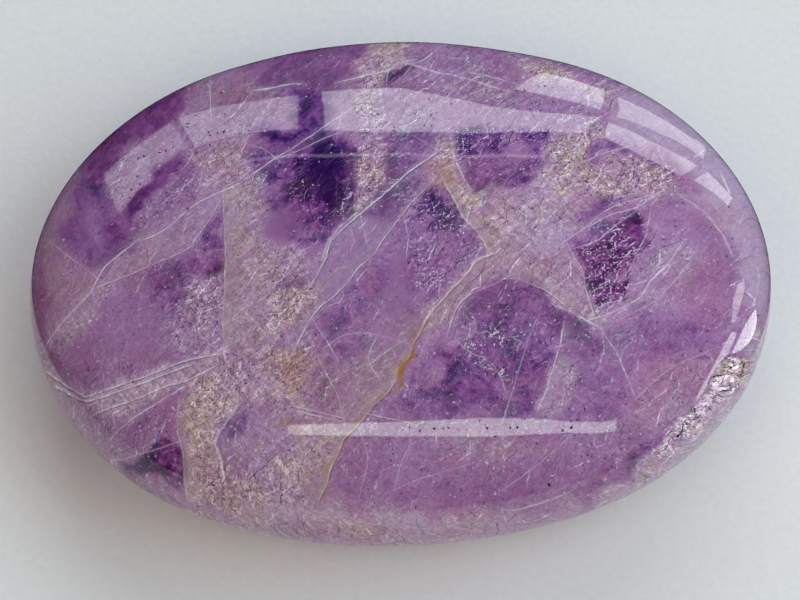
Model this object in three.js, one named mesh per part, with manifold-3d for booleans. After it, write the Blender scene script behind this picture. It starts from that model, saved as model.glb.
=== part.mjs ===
// A palm stone of chevron amethyst: one piece of banded purple and white quartz, ground to an oval and
// polished, with a domed top, a rounded rim, a shallower domed underside and a small flat that it rests on.
// A run of natural hollows, which the grinding didn't reach, is left along the rim's shoulder.
// Millimetres, +Z up. The origin is the middle of the rest flat, and the long axis lies along X.

import * as THREE from "three";
import { mergeVertices } from "three/addons/utils/BufferGeometryUtils.js";
import Module from "manifold-3d";

const wasm = await Module();
wasm.setup();

// The oval, seen from above, before the flats are ground on it
const length = 68.4;
const width = 50;
const ovalFullness = 2.07; // 2 is an ellipse, and a higher value fills out its shoulders

// The section, from the crown through the rim to the rest flat
const crownRise = 7; // the top dome's height over the rim's shoulder
const underRise = 5; // the underside's dome, as deep as it would be without the rest flat
const rimHalfHeight = 4.5; // the rounded rim, above and below its widest line
const rimSharpness = 22; // a higher value keeps the rim's rounding closer to the edge
const restShare = 0.38; // the rest flat's reach, as a share of the oval's

// Flats left on the oval by hand grinding: the degrees that each one faces, its depth and half its spread
const grindingFlats = [
  { bearing: 20, depth: 0.25, spread: 22 },
  { bearing: 65, depth: 0.65, spread: 22 },
  { bearing: 101, depth: 0.37, spread: 20 },
  { bearing: 120, depth: 0.14, spread: 9 },
  { bearing: 170, depth: 0.18, spread: 22 },
  { bearing: 195.5, depth: 0.33, spread: 18 },
  { bearing: 238, depth: 0.36, spread: 22 },
  { bearing: 272, depth: 0.54, spread: 22 },
  { bearing: 297, depth: 0.34, spread: 16 },
  { bearing: 353, depth: 0.11, spread: 8 },
];

// Natural hollows on the rim's shoulder: half sizes along and across the rim, and depth in the stone
const hollows = [
  { bearing: -42.2, share: 0.968, along: 2.2, across: 1.0, depth: 0.4 },
  { bearing: -37.7, share: 0.968, along: 2.6, across: 1.3, depth: 0.6 },
  { bearing: -33.2, share: 0.973, along: 2.5, across: 1.4, depth: 0.7 },
  { bearing: -28.7, share: 0.976, along: 2.3, across: 1.2, depth: 0.55 },
  { bearing: -24, share: 0.974, along: 2.4, across: 1.5, depth: 0.7 },
  { bearing: -19.9, share: 0.968, along: 2.0, across: 1.3, depth: 0.5 },
];
const hollowBelly = 2.4; // half the height of a hollow's cutter, as a multiple of the hollow's depth
const hollowRoughness = 0.16; // how far a hollow's floor strays from smooth, as a share of its size

// How finely the surfaces are divided
const roundSteps = 96;
const topRings = 17;
const underRings = 13;
const ringCrowding = 2.1; // a higher value crowds the rings towards the rim
const hollowDetail = 3;
const mergeDistance = 1e-4;

// Height between the shoulder line and a point of the section, whose share is 0 at the middle and 1 at the rim
function sectionRise(domeRise, share) {
  return domeRise * (1 - share ** 2) + rimHalfHeight * Math.sqrt(1 - share ** rimSharpness);
}

const rimHeight = sectionRise(underRise, restShare); // the rim's widest line, above the rest flat

// How far the oval reaches from the middle at a bearing in radians
function ovalReach(bearing) {
  const alongShare = Math.abs(Math.cos(bearing) / (length / 2)) ** ovalFullness;
  const acrossShare = Math.abs(Math.sin(bearing) / (width / 2)) ** ovalFullness;
  const oval = (alongShare + acrossShare) ** (-1 / ovalFullness);
  return grindingFlats.reduce((reach, flat) => {
    const turn = bearing - THREE.MathUtils.degToRad(flat.bearing);
    const away = Math.atan2(Math.sin(turn), Math.cos(turn)) / THREE.MathUtils.degToRad(flat.spread);
    return reach - flat.depth * Math.exp(-(away ** 2));
  }, oval);
}

function sectionPoint(bearing, share, height) {
  const reach = share * ovalReach(bearing);
  return new THREE.Vector3(reach * Math.cos(bearing), reach * Math.sin(bearing), height);
}

function topPoint(bearing, share) {
  return sectionPoint(bearing, share, rimHeight + sectionRise(crownRise, share));
}

function underPoint(bearing, share) {
  return sectionPoint(bearing, share, rimHeight - sectionRise(underRise, share));
}

// The outward normal of the top, from two short steps on its surface
function topNormal(bearing, share) {
  const step = 1e-3;
  const inwards = topPoint(bearing, share - step).sub(topPoint(bearing, share));
  const sideways = topPoint(bearing + step, share).sub(topPoint(bearing, share));
  return sideways.cross(inwards).normalize();
}

// Shares from just after start to 1, crowded towards the rim
function ringShares(start, count) {
  return Array.from({ length: count }, (_, i) => {
    const left = 1 - (i + 1) / count;
    return 1 - (1 - start) * left ** ringCrowding;
  });
}

// The ground stone before its hollows: rings from the crown over the rim and in to the rest flat
function groundStone() {
  const bearings = Array.from({ length: roundSteps }, (_, i) => (2 * Math.PI * i) / roundSteps);
  const topShares = ringShares(0, topRings);
  const underShares = [restShare, ...ringShares(restShare, underRings).slice(0, -1)].reverse();
  const rings = [
    ...topShares.map((share) => bearings.map((bearing) => topPoint(bearing, share))),
    ...underShares.map((share) => bearings.map((bearing) => underPoint(bearing, share))),
  ];
  const crown = topPoint(0, 0);
  const restMiddle = new THREE.Vector3();
  const points = [crown, ...rings.flat(), restMiddle];
  const last = points.length - 1;
  const at = (ring, step) => 1 + ring * roundSteps + (step % roundSteps);
  const faces = [];
  for (let step = 0; step < roundSteps; step++) {
    faces.push(0, at(0, step), at(0, step + 1));
    for (let ring = 0; ring + 1 < rings.length; ring++) {
      faces.push(at(ring, step), at(ring + 1, step), at(ring + 1, step + 1));
      faces.push(at(ring, step), at(ring + 1, step + 1), at(ring, step + 1));
    }
    faces.push(at(rings.length - 1, step), last, at(rings.length - 1, step + 1));
  }
  return new THREE.BufferGeometry().setFromPoints(points).setIndex(faces);
}

// A lumpy egg, laid along the rim with its belly in the stone, that cuts one hollow
function hollowCutter(hollow, seed) {
  const egg = new THREE.IcosahedronGeometry(1, hollowDetail);
  const belly = hollow.depth * hollowBelly;
  const spots = egg.attributes.position;
  const spot = new THREE.Vector3();
  for (let i = 0; i < spots.count; i++) {
    spot.fromBufferAttribute(spots, i);
    const coarse = Math.sin(5.1 * spot.x + seed) * Math.cos(4.3 * spot.y - 2 * seed);
    const fine = Math.sin(9.7 * spot.y + 3 * seed) * Math.sin(8.3 * spot.x - seed);
    spot.multiplyScalar(1 + hollowRoughness * (coarse + 0.6 * fine));
    spots.setXYZ(i, spot.x * hollow.along, spot.y * hollow.across, spot.z * belly);
  }
  const bearing = THREE.MathUtils.degToRad(hollow.bearing);
  const out = topNormal(bearing, hollow.share);
  const alongRim = new THREE.Vector3(0, 0, 1).cross(out).normalize();
  const acrossRim = out.clone().cross(alongRim);
  const middle = topPoint(bearing, hollow.share).addScaledVector(out, belly - hollow.depth);
  return egg.applyMatrix4(new THREE.Matrix4().makeBasis(alongRim, acrossRim, out).setPosition(middle));
}

// A closed geometry as a solid
function solidOf(geometry) {
  const bare = geometry.clone();
  bare.deleteAttribute("normal");
  bare.deleteAttribute("uv");
  const merged = mergeVertices(bare, mergeDistance);
  return new wasm.Manifold(
    new wasm.Mesh({
      numProp: 3,
      vertProperties: merged.attributes.position.array,
      triVerts: new Uint32Array(merged.index.array),
    }),
  );
}

// A solid as a geometry with its normals
function geometryOf(solid) {
  const mesh = solid.getMesh();
  const geometry = new THREE.BufferGeometry();
  geometry.setAttribute("position", new THREE.BufferAttribute(mesh.vertProperties, mesh.numProp));
  geometry.setIndex(new THREE.BufferAttribute(mesh.triVerts, 1));
  geometry.computeVertexNormals();
  return geometry;
}

function palmStone() {
  const polishedAmethyst = new THREE.MeshStandardMaterial({
    color: 0x8a63a0,
    roughness: 0.08,
    metalness: 0,
  });
  const stone = hollows.reduce(
    (solid, hollow, i) => solid.subtract(solidOf(hollowCutter(hollow, i + 1))),
    solidOf(groundStone()),
  );
  const mesh = new THREE.Mesh(geometryOf(stone), polishedAmethyst);
  mesh.name = "palm_stone";
  return mesh;
}

const part = new THREE.Group();
part.add(palmStone());

export default part;
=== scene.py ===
import math

import bpy
import numpy as np
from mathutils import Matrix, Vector, noise
from mathutils.interpolate import poly_3d_calc


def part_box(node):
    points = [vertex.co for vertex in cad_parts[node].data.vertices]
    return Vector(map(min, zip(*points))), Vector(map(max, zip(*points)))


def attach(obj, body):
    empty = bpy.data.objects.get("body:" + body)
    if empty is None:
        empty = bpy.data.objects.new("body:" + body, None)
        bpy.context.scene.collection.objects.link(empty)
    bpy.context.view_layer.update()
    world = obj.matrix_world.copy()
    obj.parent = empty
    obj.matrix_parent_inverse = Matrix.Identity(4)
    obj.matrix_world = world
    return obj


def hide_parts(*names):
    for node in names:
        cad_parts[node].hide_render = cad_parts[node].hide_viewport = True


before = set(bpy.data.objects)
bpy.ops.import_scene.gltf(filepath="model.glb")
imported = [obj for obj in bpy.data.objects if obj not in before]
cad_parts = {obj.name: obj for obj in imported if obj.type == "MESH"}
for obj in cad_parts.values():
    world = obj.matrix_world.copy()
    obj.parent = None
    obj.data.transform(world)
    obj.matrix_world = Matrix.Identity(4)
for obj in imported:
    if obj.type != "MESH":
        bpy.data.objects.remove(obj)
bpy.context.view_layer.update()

mm = 0.001  # the sizes below are millimetres, and Blender's are metres
picture = {"width": 800, "height": 600}


# small helpers

def linear(hexColour):  # an sRGB hex value as linear red, green, blue and alpha
    parts = [int(hexColour[i:i + 2], 16) / 255 for i in (1, 3, 5)]
    return [p / 12.92 if p <= 0.04045 else ((p + 0.055) / 1.055) ** 2.4 for p in parts] + [1.0]


def addNode(tree, kind, inputs=(), **settings):  # a node with its settings, and its inputs' values or links
    node = tree.nodes.new(kind)
    for name, value in settings.items():
        setattr(node, name, value)
    for name, value in dict(inputs).items():
        if isinstance(value, bpy.types.NodeSocket):
            tree.links.new(value, node.inputs[name])
        else:
            node.inputs[name].default_value = value
    return node


def newMaterial(name):
    material = bpy.data.materials.new(name)
    material.use_nodes = True
    material.node_tree.nodes.clear()
    return material, material.node_tree


def placesOf(piece):  # the piece's points, one row each, in metres
    places = np.empty(3 * len(piece.data.vertices))
    piece.data.vertices.foreach_get("co", places)
    return places.reshape(-1, 3)


def movePoints(piece, places):
    piece.data.vertices.foreach_set("co", places.ravel())
    piece.data.update()


def smoothStep(low, high, value):
    share = np.clip((value - low) / (high - low), 0, 1)
    return share * share * (3 - 2 * share)


# the stone's shape

stone = {
    "length": 68.4,
    "width": 50.0,
    "fullness": 2.07,  # of the oval: 2 is an ellipse
    "crownRise": 7.0,
    "underRise": 5.0,
    "rimHalfHeight": 4.5,
    "rimSharpness": 22,
    "restShare": 0.38,
    # the degrees that each hand-ground flat faces, its depth and half its spread
    "flats": [(20, 0.25, 22), (65, 0.65, 22), (101, 0.37, 20), (120, 0.14, 9), (170, 0.18, 22),
              (195.5, 0.33, 18), (238, 0.36, 22), (272, 0.54, 22), (297, 0.34, 16), (353, 0.11, 8)],
    "gridCuts": {"z": (46,), "x": (21, 10), "y": (15, 10)},
    "domeArc": 0.83,  # share of the section's length that the box's top face covers
    "arcSteps": 4000,
    "inset": 0.004,  # by which the piece keeps inside the faceted solid's box
}


def sectionRise(domeRise, share):  # height between the shoulder line and a point of the section
    shoulder = stone["rimHalfHeight"] * np.sqrt(np.maximum(1 - share ** stone["rimSharpness"], 0))
    return domeRise * (1 - share ** 2) + shoulder


rimHeight = float(sectionRise(stone["underRise"], np.array(stone["restShare"])))


def ovalReach(bearing):  # from the middle to the rim, at a bearing in radians
    along = np.abs(np.cos(bearing) / (stone["length"] / 2)) ** stone["fullness"]
    across = np.abs(np.sin(bearing) / (stone["width"] / 2)) ** stone["fullness"]
    reach = (along + across) ** (-1 / stone["fullness"])
    for facing, depth, spread in stone["flats"]:
        turn = bearing - math.radians(facing)
        away = np.degrees(np.arctan2(np.sin(turn), np.cos(turn))) / spread
        reach = reach - depth * np.exp(-away ** 2)
    return reach


def sectionByArc(rise, side):  # how far along its own length the section is at each share of its reach
    meanReach = (stone["length"] + stone["width"]) / 4
    shares = 1 - np.linspace(1, 0, stone["arcSteps"]) ** 3  # closer together where the rim turns
    heights = np.maximum(rimHeight + side * sectionRise(rise, shares), 0)
    steps = np.hypot(np.diff(shares) * meanReach, np.diff(heights))
    arc = np.concatenate([[0], np.cumsum(steps)])
    return arc / arc[-1], shares


def boxGrid(name, cuts):  # a cube with its edges along each axis cut into short ones
    bpy.ops.object.select_all(action="DESELECT")
    bpy.ops.mesh.primitive_cube_add(size=2)
    piece = bpy.context.object
    piece.name = name
    for axis in "zxy":
        for parts in cuts[axis]:
            bpy.ops.object.mode_set(mode="EDIT")
            bpy.ops.mesh.select_mode(type="EDGE")
            bpy.ops.mesh.select_all(action="DESELECT")
            bpy.ops.object.mode_set(mode="OBJECT")
            ends = np.empty(2 * len(piece.data.edges), int)
            piece.data.edges.foreach_get("vertices", ends)
            ends = ends.reshape(-1, 2)
            column = placesOf(piece)[:, "xyz".index(axis)]
            along = np.abs(column[ends[:, 0]] - column[ends[:, 1]]) > 1e-6
            piece.data.edges.foreach_set("select", along)
            bpy.ops.object.mode_set(mode="EDIT")
            bpy.ops.mesh.subdivide(number_cuts=parts - 1)
            bpy.ops.object.mode_set(mode="OBJECT")
    return piece


def groundPlaces(cube):  # points of the box grid, ground to the stone: millimetres
    x, y, z = cube.T
    across, up = x * np.sqrt(1 - y ** 2 / 2), y * np.sqrt(1 - x ** 2 / 2)  # the square turned to a disc
    ring = np.minimum(np.hypot(across, up), 1)
    turn = np.arctan2(up * stone["width"], across * stone["length"])
    arc = np.where(np.abs(z) > 0.9999, stone["domeArc"] * ring,
                   1 - (1 - stone["domeArc"]) * np.abs(z))
    places = np.empty_like(cube)
    for side, rise in ((1, stone["crownRise"]), (-1, stone["underRise"])):
        here = z >= 0 if side > 0 else z < 0
        arcs, shares = sectionByArc(rise, side)
        share = np.interp(arc[here], arcs, shares)
        reach = share * ovalReach(turn[here])
        height = np.maximum(rimHeight + side * sectionRise(rise, share), 0)
        places[here] = np.stack([reach * np.cos(turn[here]), reach * np.sin(turn[here]), height], 1)
    return places


def fitToFrame(places):  # the smooth shape, fitted to the box of the faceted one
    low, high = (np.array(corner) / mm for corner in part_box("palm_stone"))
    inset = stone["inset"]
    lowNow, highNow = places.min(0), places.max(0)
    share = (places - lowNow) / (highNow - lowNow)
    return low + inset + share * (high - low - 2 * inset)


def makeStone():
    piece = boxGrid("polished_stone", stone["gridCuts"])
    movePoints(piece, fitToFrame(groundPlaces(placesOf(piece))) * mm)
    bpy.ops.object.select_all(action="DESELECT")
    piece.select_set(True)
    bpy.context.view_layer.objects.active = piece
    bpy.ops.object.mode_set(mode="EDIT")
    bpy.ops.mesh.select_all(action="SELECT")
    bpy.ops.mesh.normals_make_consistent(inside=False)
    bpy.ops.object.mode_set(mode="OBJECT")
    bpy.ops.object.shade_smooth()
    return piece


stonePiece = makeStone()
print("stone:", len(stonePiece.data.polygons), "faces")


# camera, and what it sees

view = {
    "azimuth": -2.821,
    "elevation": 66.0,
    "distance": 300.0,
    "lens": 147.15,
    "sensor": 36.0,
    "clip": (0.01, 10.0),  # metres
    "aimBelowMiddle": 0.97,  # so that the stone sits a little above the picture's middle
}


def makeCamera():
    a, e = math.radians(view["azimuth"]), math.radians(view["elevation"])
    back = Vector((math.sin(a) * math.cos(e), -math.cos(a) * math.cos(e), math.sin(e)))
    turned = (-back).to_track_quat("-Z", "Y")
    aim = Vector((0, 0, rimHeight)) - (turned @ Vector((0, 1, 0))) * view["aimBelowMiddle"]
    data = bpy.data.cameras.new("camera")
    data.lens = view["lens"]
    data.sensor_width = view["sensor"]
    data.clip_start, data.clip_end = view["clip"]
    camera = bpy.data.objects.new("camera", data)
    bpy.context.scene.collection.objects.link(camera)
    camera.rotation_mode = "QUATERNION"
    camera.rotation_quaternion = turned
    camera.location = (aim + back * view["distance"]) * mm
    bpy.context.scene.camera = camera
    bpy.context.view_layer.update()
    return camera


def seenOnStone(px, py):  # the ray through a point of the picture, and where it meets the stone, in metres
    focal = view["lens"] / view["sensor"] * picture["width"]
    aim = Vector((px - picture["width"] / 2, picture["height"] / 2 - py, -focal))
    ray = (camera.rotation_quaternion @ aim).normalized()
    hit, place, _, face = stonePiece.ray_cast(camera.location, ray)
    if not hit:  # past the outline: the nearest point of the stone
        level = camera.location + ray * ((rimHeight * mm - camera.location.z) / ray.z)
        _, place, _, face = stonePiece.closest_point_on_mesh(level)
    return ray, place, face


camera = makeCamera()
print("camera:", view["elevation"], "degrees above the table")

# floor and light

light = {
    "floorSize": 6000.0,
    "floorColour": "#ebf0ee",
    "floorShade": "#dfe4e3",
    "floorSpecksPerMm": 1.4,
    "floorRelief": 0.04,
    "floorRoughness": 0.9,
    "floorSpecular": 0.1,
    "roomColour": "#8d8f99",
    "roomStrength": 0.12,
    "mirrorDistance": 600.0,
    "mirrorColour": "#f3faf8",
    "barColour": "#f1e9ff",
    "lowestCard": 1.0,  # above the table
}
# soft lights that the polish doesn't mirror: bearing and elevation from the stone, colour and strength
softLights = {
    "north": (12, 35, "#f8fbff", 2.25),
    "east": (90, 45, "#d9ecff", 2.25),
    "southEast": (135, 45, "#fbf1e2", 1.8),
    "southWest": (225, 45, "#ffeae7", 1.2),
}
softCard = {"distance": 800.0, "side": 700.0}
# the table past the stone on the window's side, which the rim mirrors as dark
darkTable = {
    "bearings": (-40, 208),
    "step": 4.0,
    "easeOver": 60.0,  # degrees over which each end draws back from the stone
    "gap": 1.0,  # mm from the oval
    "easeGap": 90.0,
    "reach": 700.0,
}
# what the polish mirrors: the strength of each light, and where its corners show in the picture
mirrored = {
    "paneLeft": (1.6, [
        (104.6, 173.5), (119, 160), (136, 147), (153, 134), (170.9, 122.4), (179, 134), (187.5, 146.7),
        (168, 161), (150, 177), (134, 196), (119.9, 215.6), (112, 194)]),
    "paneMidLeft": (2.15, [
        (178.6, 117.9), (206, 110), (236, 104), (267, 99), (298.5, 94.9), (298.5, 112), (298.5, 128.8),
        (272, 130.5), (246, 134), (220, 139), (195.2, 145.9), (187, 132)]),
    "paneMiddle": (3.25, [
        (321.4, 91.8), (360, 89), (400, 88), (448, 97), (494.4, 107.1), (546, 113), (597.7, 117.3),
        (583.7, 133.2), (490, 133), (400, 132.7), (360, 131.6), (324, 130.6)]),
    "paneMidRight": (4.0, [
        (607.9, 122.4), (652, 142), (675, 153), (697.2, 165.8), (689, 171), (680.6, 176), (661, 165.5),
        (642, 156), (623, 146.5), (604, 137.8), (606, 130)]),
    "paneRight": (4.2, [
        (707.4, 172.2), (714, 178), (720, 184), (727, 191.5), (732.9, 199), (730, 202), (727.8, 205.4),
        (720, 198), (711, 191), (702, 185), (693.4, 179.8), (700, 176)]),
    "outerLeft": (3.8, [(542.9, 72.7), (574, 80), (604, 90.6), (600.3, 109.7), (556, 98), (514.8, 89.3)]),
    "outerRight": (3.0, [
        (616.8, 97), (662, 119), (706, 150.5), (703.6, 159.4), (660, 134), (616.8, 117.3)]),
    "topBar": (1.8, [
        (200, 184.5), (217, 173), (251, 158.5), (300, 153.7), (360, 152.6), (420, 153.4), (480, 154.4),
        (538, 155), (540, 158), (480, 157.6), (420, 156.8), (360, 156), (300, 157), (251, 161.8),
        (217, 176), (200, 187)]),
    "lowBar": (4.7, [
        (288, 425), (340, 423.5), (400, 422), (440, 420), (484, 418), (540, 419), (616, 420), (616, 431),
        (570, 432.5), (522, 435), (460, 436.5), (400, 436.5), (340, 435.5), (288, 434)]),
    "lowCrescent": (2.5, [
        (497, 511), (517, 509), (540, 502), (573, 490), (560, 497), (540, 504.5), (517, 511)]),
    "glintFaint": (4.2, [
        (744, 279), (737, 286), (733, 300), (731, 323), (735, 323), (741, 303), (745, 286)]),
    "glintInner": (6.0, [
        (732, 331), (737, 333), (729, 352), (716, 372), (704, 391), (692, 408), (700, 389), (712, 368),
        (722, 349)]),
    "glintBright": (7.5, [
        (756, 309), (749, 318), (744, 327), (736, 343), (730, 357), (740, 351), (750, 342), (755, 330),
        (757, 319)]),
    "glintLine": (3.0, [
        (756, 267), (758, 280), (756, 293), (752, 306), (754, 306), (758, 293), (760, 280), (758, 267)]),
    "outerLine": (3.0, [(689, 135), (697, 140), (706, 148), (704, 149), (695, 141)]),
    "rightLine": (3.0, [(719, 171), (726, 182), (731, 194), (729, 194), (724, 183)]),
}


def mirroredPlace(px, py):  # where a light is that shows at this point of the picture: metres
    ray, place, face = seenOnStone(px, py)
    corners = [stonePiece.data.vertices[v] for v in stonePiece.data.polygons[face].vertices]
    weights = poly_3d_calc([corner.co for corner in corners], place)
    normal = sum((corner.normal * weight for corner, weight in zip(corners, weights)), Vector())
    normal.normalize()
    out = ray - normal * (2 * ray.dot(normal))
    reach = light["mirrorDistance"] * mm
    along = place.dot(out)
    far = -along + math.sqrt(along ** 2 - place.length_squared + reach ** 2)
    lowest = light["lowestCard"] * mm
    if place.z + out.z * far < lowest:  # low ones lie just over the table
        far = (lowest - place.z) / out.z
    return place + out * far


def emissionMaterial(name, colour, strength):
    material, tree = newMaterial(name)
    glow = addNode(tree, "ShaderNodeEmission", {"Color": linear(colour), "Strength": strength})
    addNode(tree, "ShaderNodeOutputMaterial", {"Surface": glow.outputs["Emission"]})
    return material


def lightCard(name, corners, colour, strength):
    bpy.ops.object.select_all(action="DESELECT")
    bpy.ops.mesh.primitive_circle_add(vertices=len(corners), fill_type="NGON")
    card = bpy.context.object
    card.name = name
    for vertex, corner in zip(card.data.vertices, corners):
        vertex.co = corner
    card.data.update()
    card.data.materials.append(emissionMaterial(name, colour, strength))
    card.visible_camera = False
    card.visible_transmission = False
    card.visible_shadow = False
    return card


def makeLights():
    for name, (strength, corners) in mirrored.items():
        colour = light["barColour" if name == "topBar" else "mirrorColour"]
        places = [mirroredPlace(px, py) for px, py in corners]
        card = lightCard("mirrored_" + name, places, colour, strength)
        card.visible_diffuse = False
    half = softCard["side"] / 2
    for name, (bearing, elevation, colour, strength) in softLights.items():
        b, e = math.radians(bearing), math.radians(elevation)
        away = Vector((math.sin(b) * math.cos(e), math.cos(b) * math.cos(e), math.sin(e)))
        turned = away.to_track_quat("Z", "Y")
        corners = [(away * softCard["distance"] + turned @ Vector((x * half, y * half, 0))) * mm
                   for x, y in ((-1, -1), (1, -1), (1, 1), (-1, 1))]
        card = lightCard("soft_" + name, corners, colour, strength)
        card.visible_glossy = False
    near, far = [], []
    start, end = darkTable["bearings"]
    up = Vector((0, 0, light["lowestCard"]))
    for degrees in np.arange(start, end + 1, darkTable["step"]):
        bearing = math.radians(degrees)
        ease = max(0.0, 1 - min(degrees - start, end - degrees) / darkTable["easeOver"])
        gap = darkTable["gap"] + darkTable["easeGap"] * ease ** 3
        out = Vector((math.cos(bearing), math.sin(bearing), 0))
        near.append((out * (float(ovalReach(bearing)) + gap) + up) * mm)
        far.append((out * darkTable["reach"] + up) * mm)
    card = lightCard("dark_table", near + far[::-1], "#000000", 0.0)
    card.visible_diffuse = False


def makeFloor():
    bpy.ops.object.select_all(action="DESELECT")
    bpy.ops.mesh.primitive_plane_add(size=light["floorSize"] * mm)
    floor = bpy.context.object
    floor.name = "floor"
    material, tree = newMaterial("pale_card")  # matt, with faint soft specks
    place = addNode(tree, "ShaderNodeTexCoord").outputs["Object"]
    specks = addNode(tree, "ShaderNodeTexNoise", {"Vector": place, "Scale": light["floorSpecksPerMm"] / mm,
                                                  "Detail": 3.0}).outputs["Fac"]
    shades = addNode(tree, "ShaderNodeMix", {0: specks, 6: linear(light["floorShade"]),
                                             7: linear(light["floorColour"])}, data_type="RGBA")
    relief = addNode(tree, "ShaderNodeBump", {"Height": specks, "Distance": light["floorRelief"] * mm})
    face = addNode(tree, "ShaderNodeBsdfPrincipled",
                   {"Base Color": shades.outputs[2], "Roughness": light["floorRoughness"],
                    "Specular IOR Level": light["floorSpecular"], "Normal": relief.outputs["Normal"]})
    addNode(tree, "ShaderNodeOutputMaterial", {"Surface": face.outputs["BSDF"]})
    floor.data.materials.append(material)


def makeWorld():
    world = bpy.data.worlds.new("room")
    world.use_nodes = True
    bpy.context.scene.world = world
    world.node_tree.nodes.clear()
    back = addNode(world.node_tree, "ShaderNodeBackground",
                   {"Color": linear(light["roomColour"]), "Strength": light["roomStrength"]})
    addNode(world.node_tree, "ShaderNodeOutputWorld", {"Surface": back.outputs["Background"]})


makeFloor()
makeLights()
makeWorld()
print("lights:", len(mirrored), "mirrored,", len(softLights), "soft")


# the markings, traced as they lie in the picture

# hollows on the rim that the grinding didn't reach: in mm their depth, the size of their facets and the
# width of their wall, and their outline in the picture
hollows = {
    "bubbly": {"depth": 0.4, "facet": 0.6, "wall": 0.5, "outline": [
        (711, 380), (718, 366), (727, 358), (740, 355), (749, 361), (747, 377), (739, 391), (725, 397),
        (712, 391)]},
    "broken": {"depth": 0.55, "facet": 1.0, "wall": 0.4, "outline": [
        (653, 455), (664, 437), (680, 420), (697, 404), (711, 392), (724, 398), (716, 409), (700, 424),
        (682, 441), (668, 451)]},
}

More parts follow.
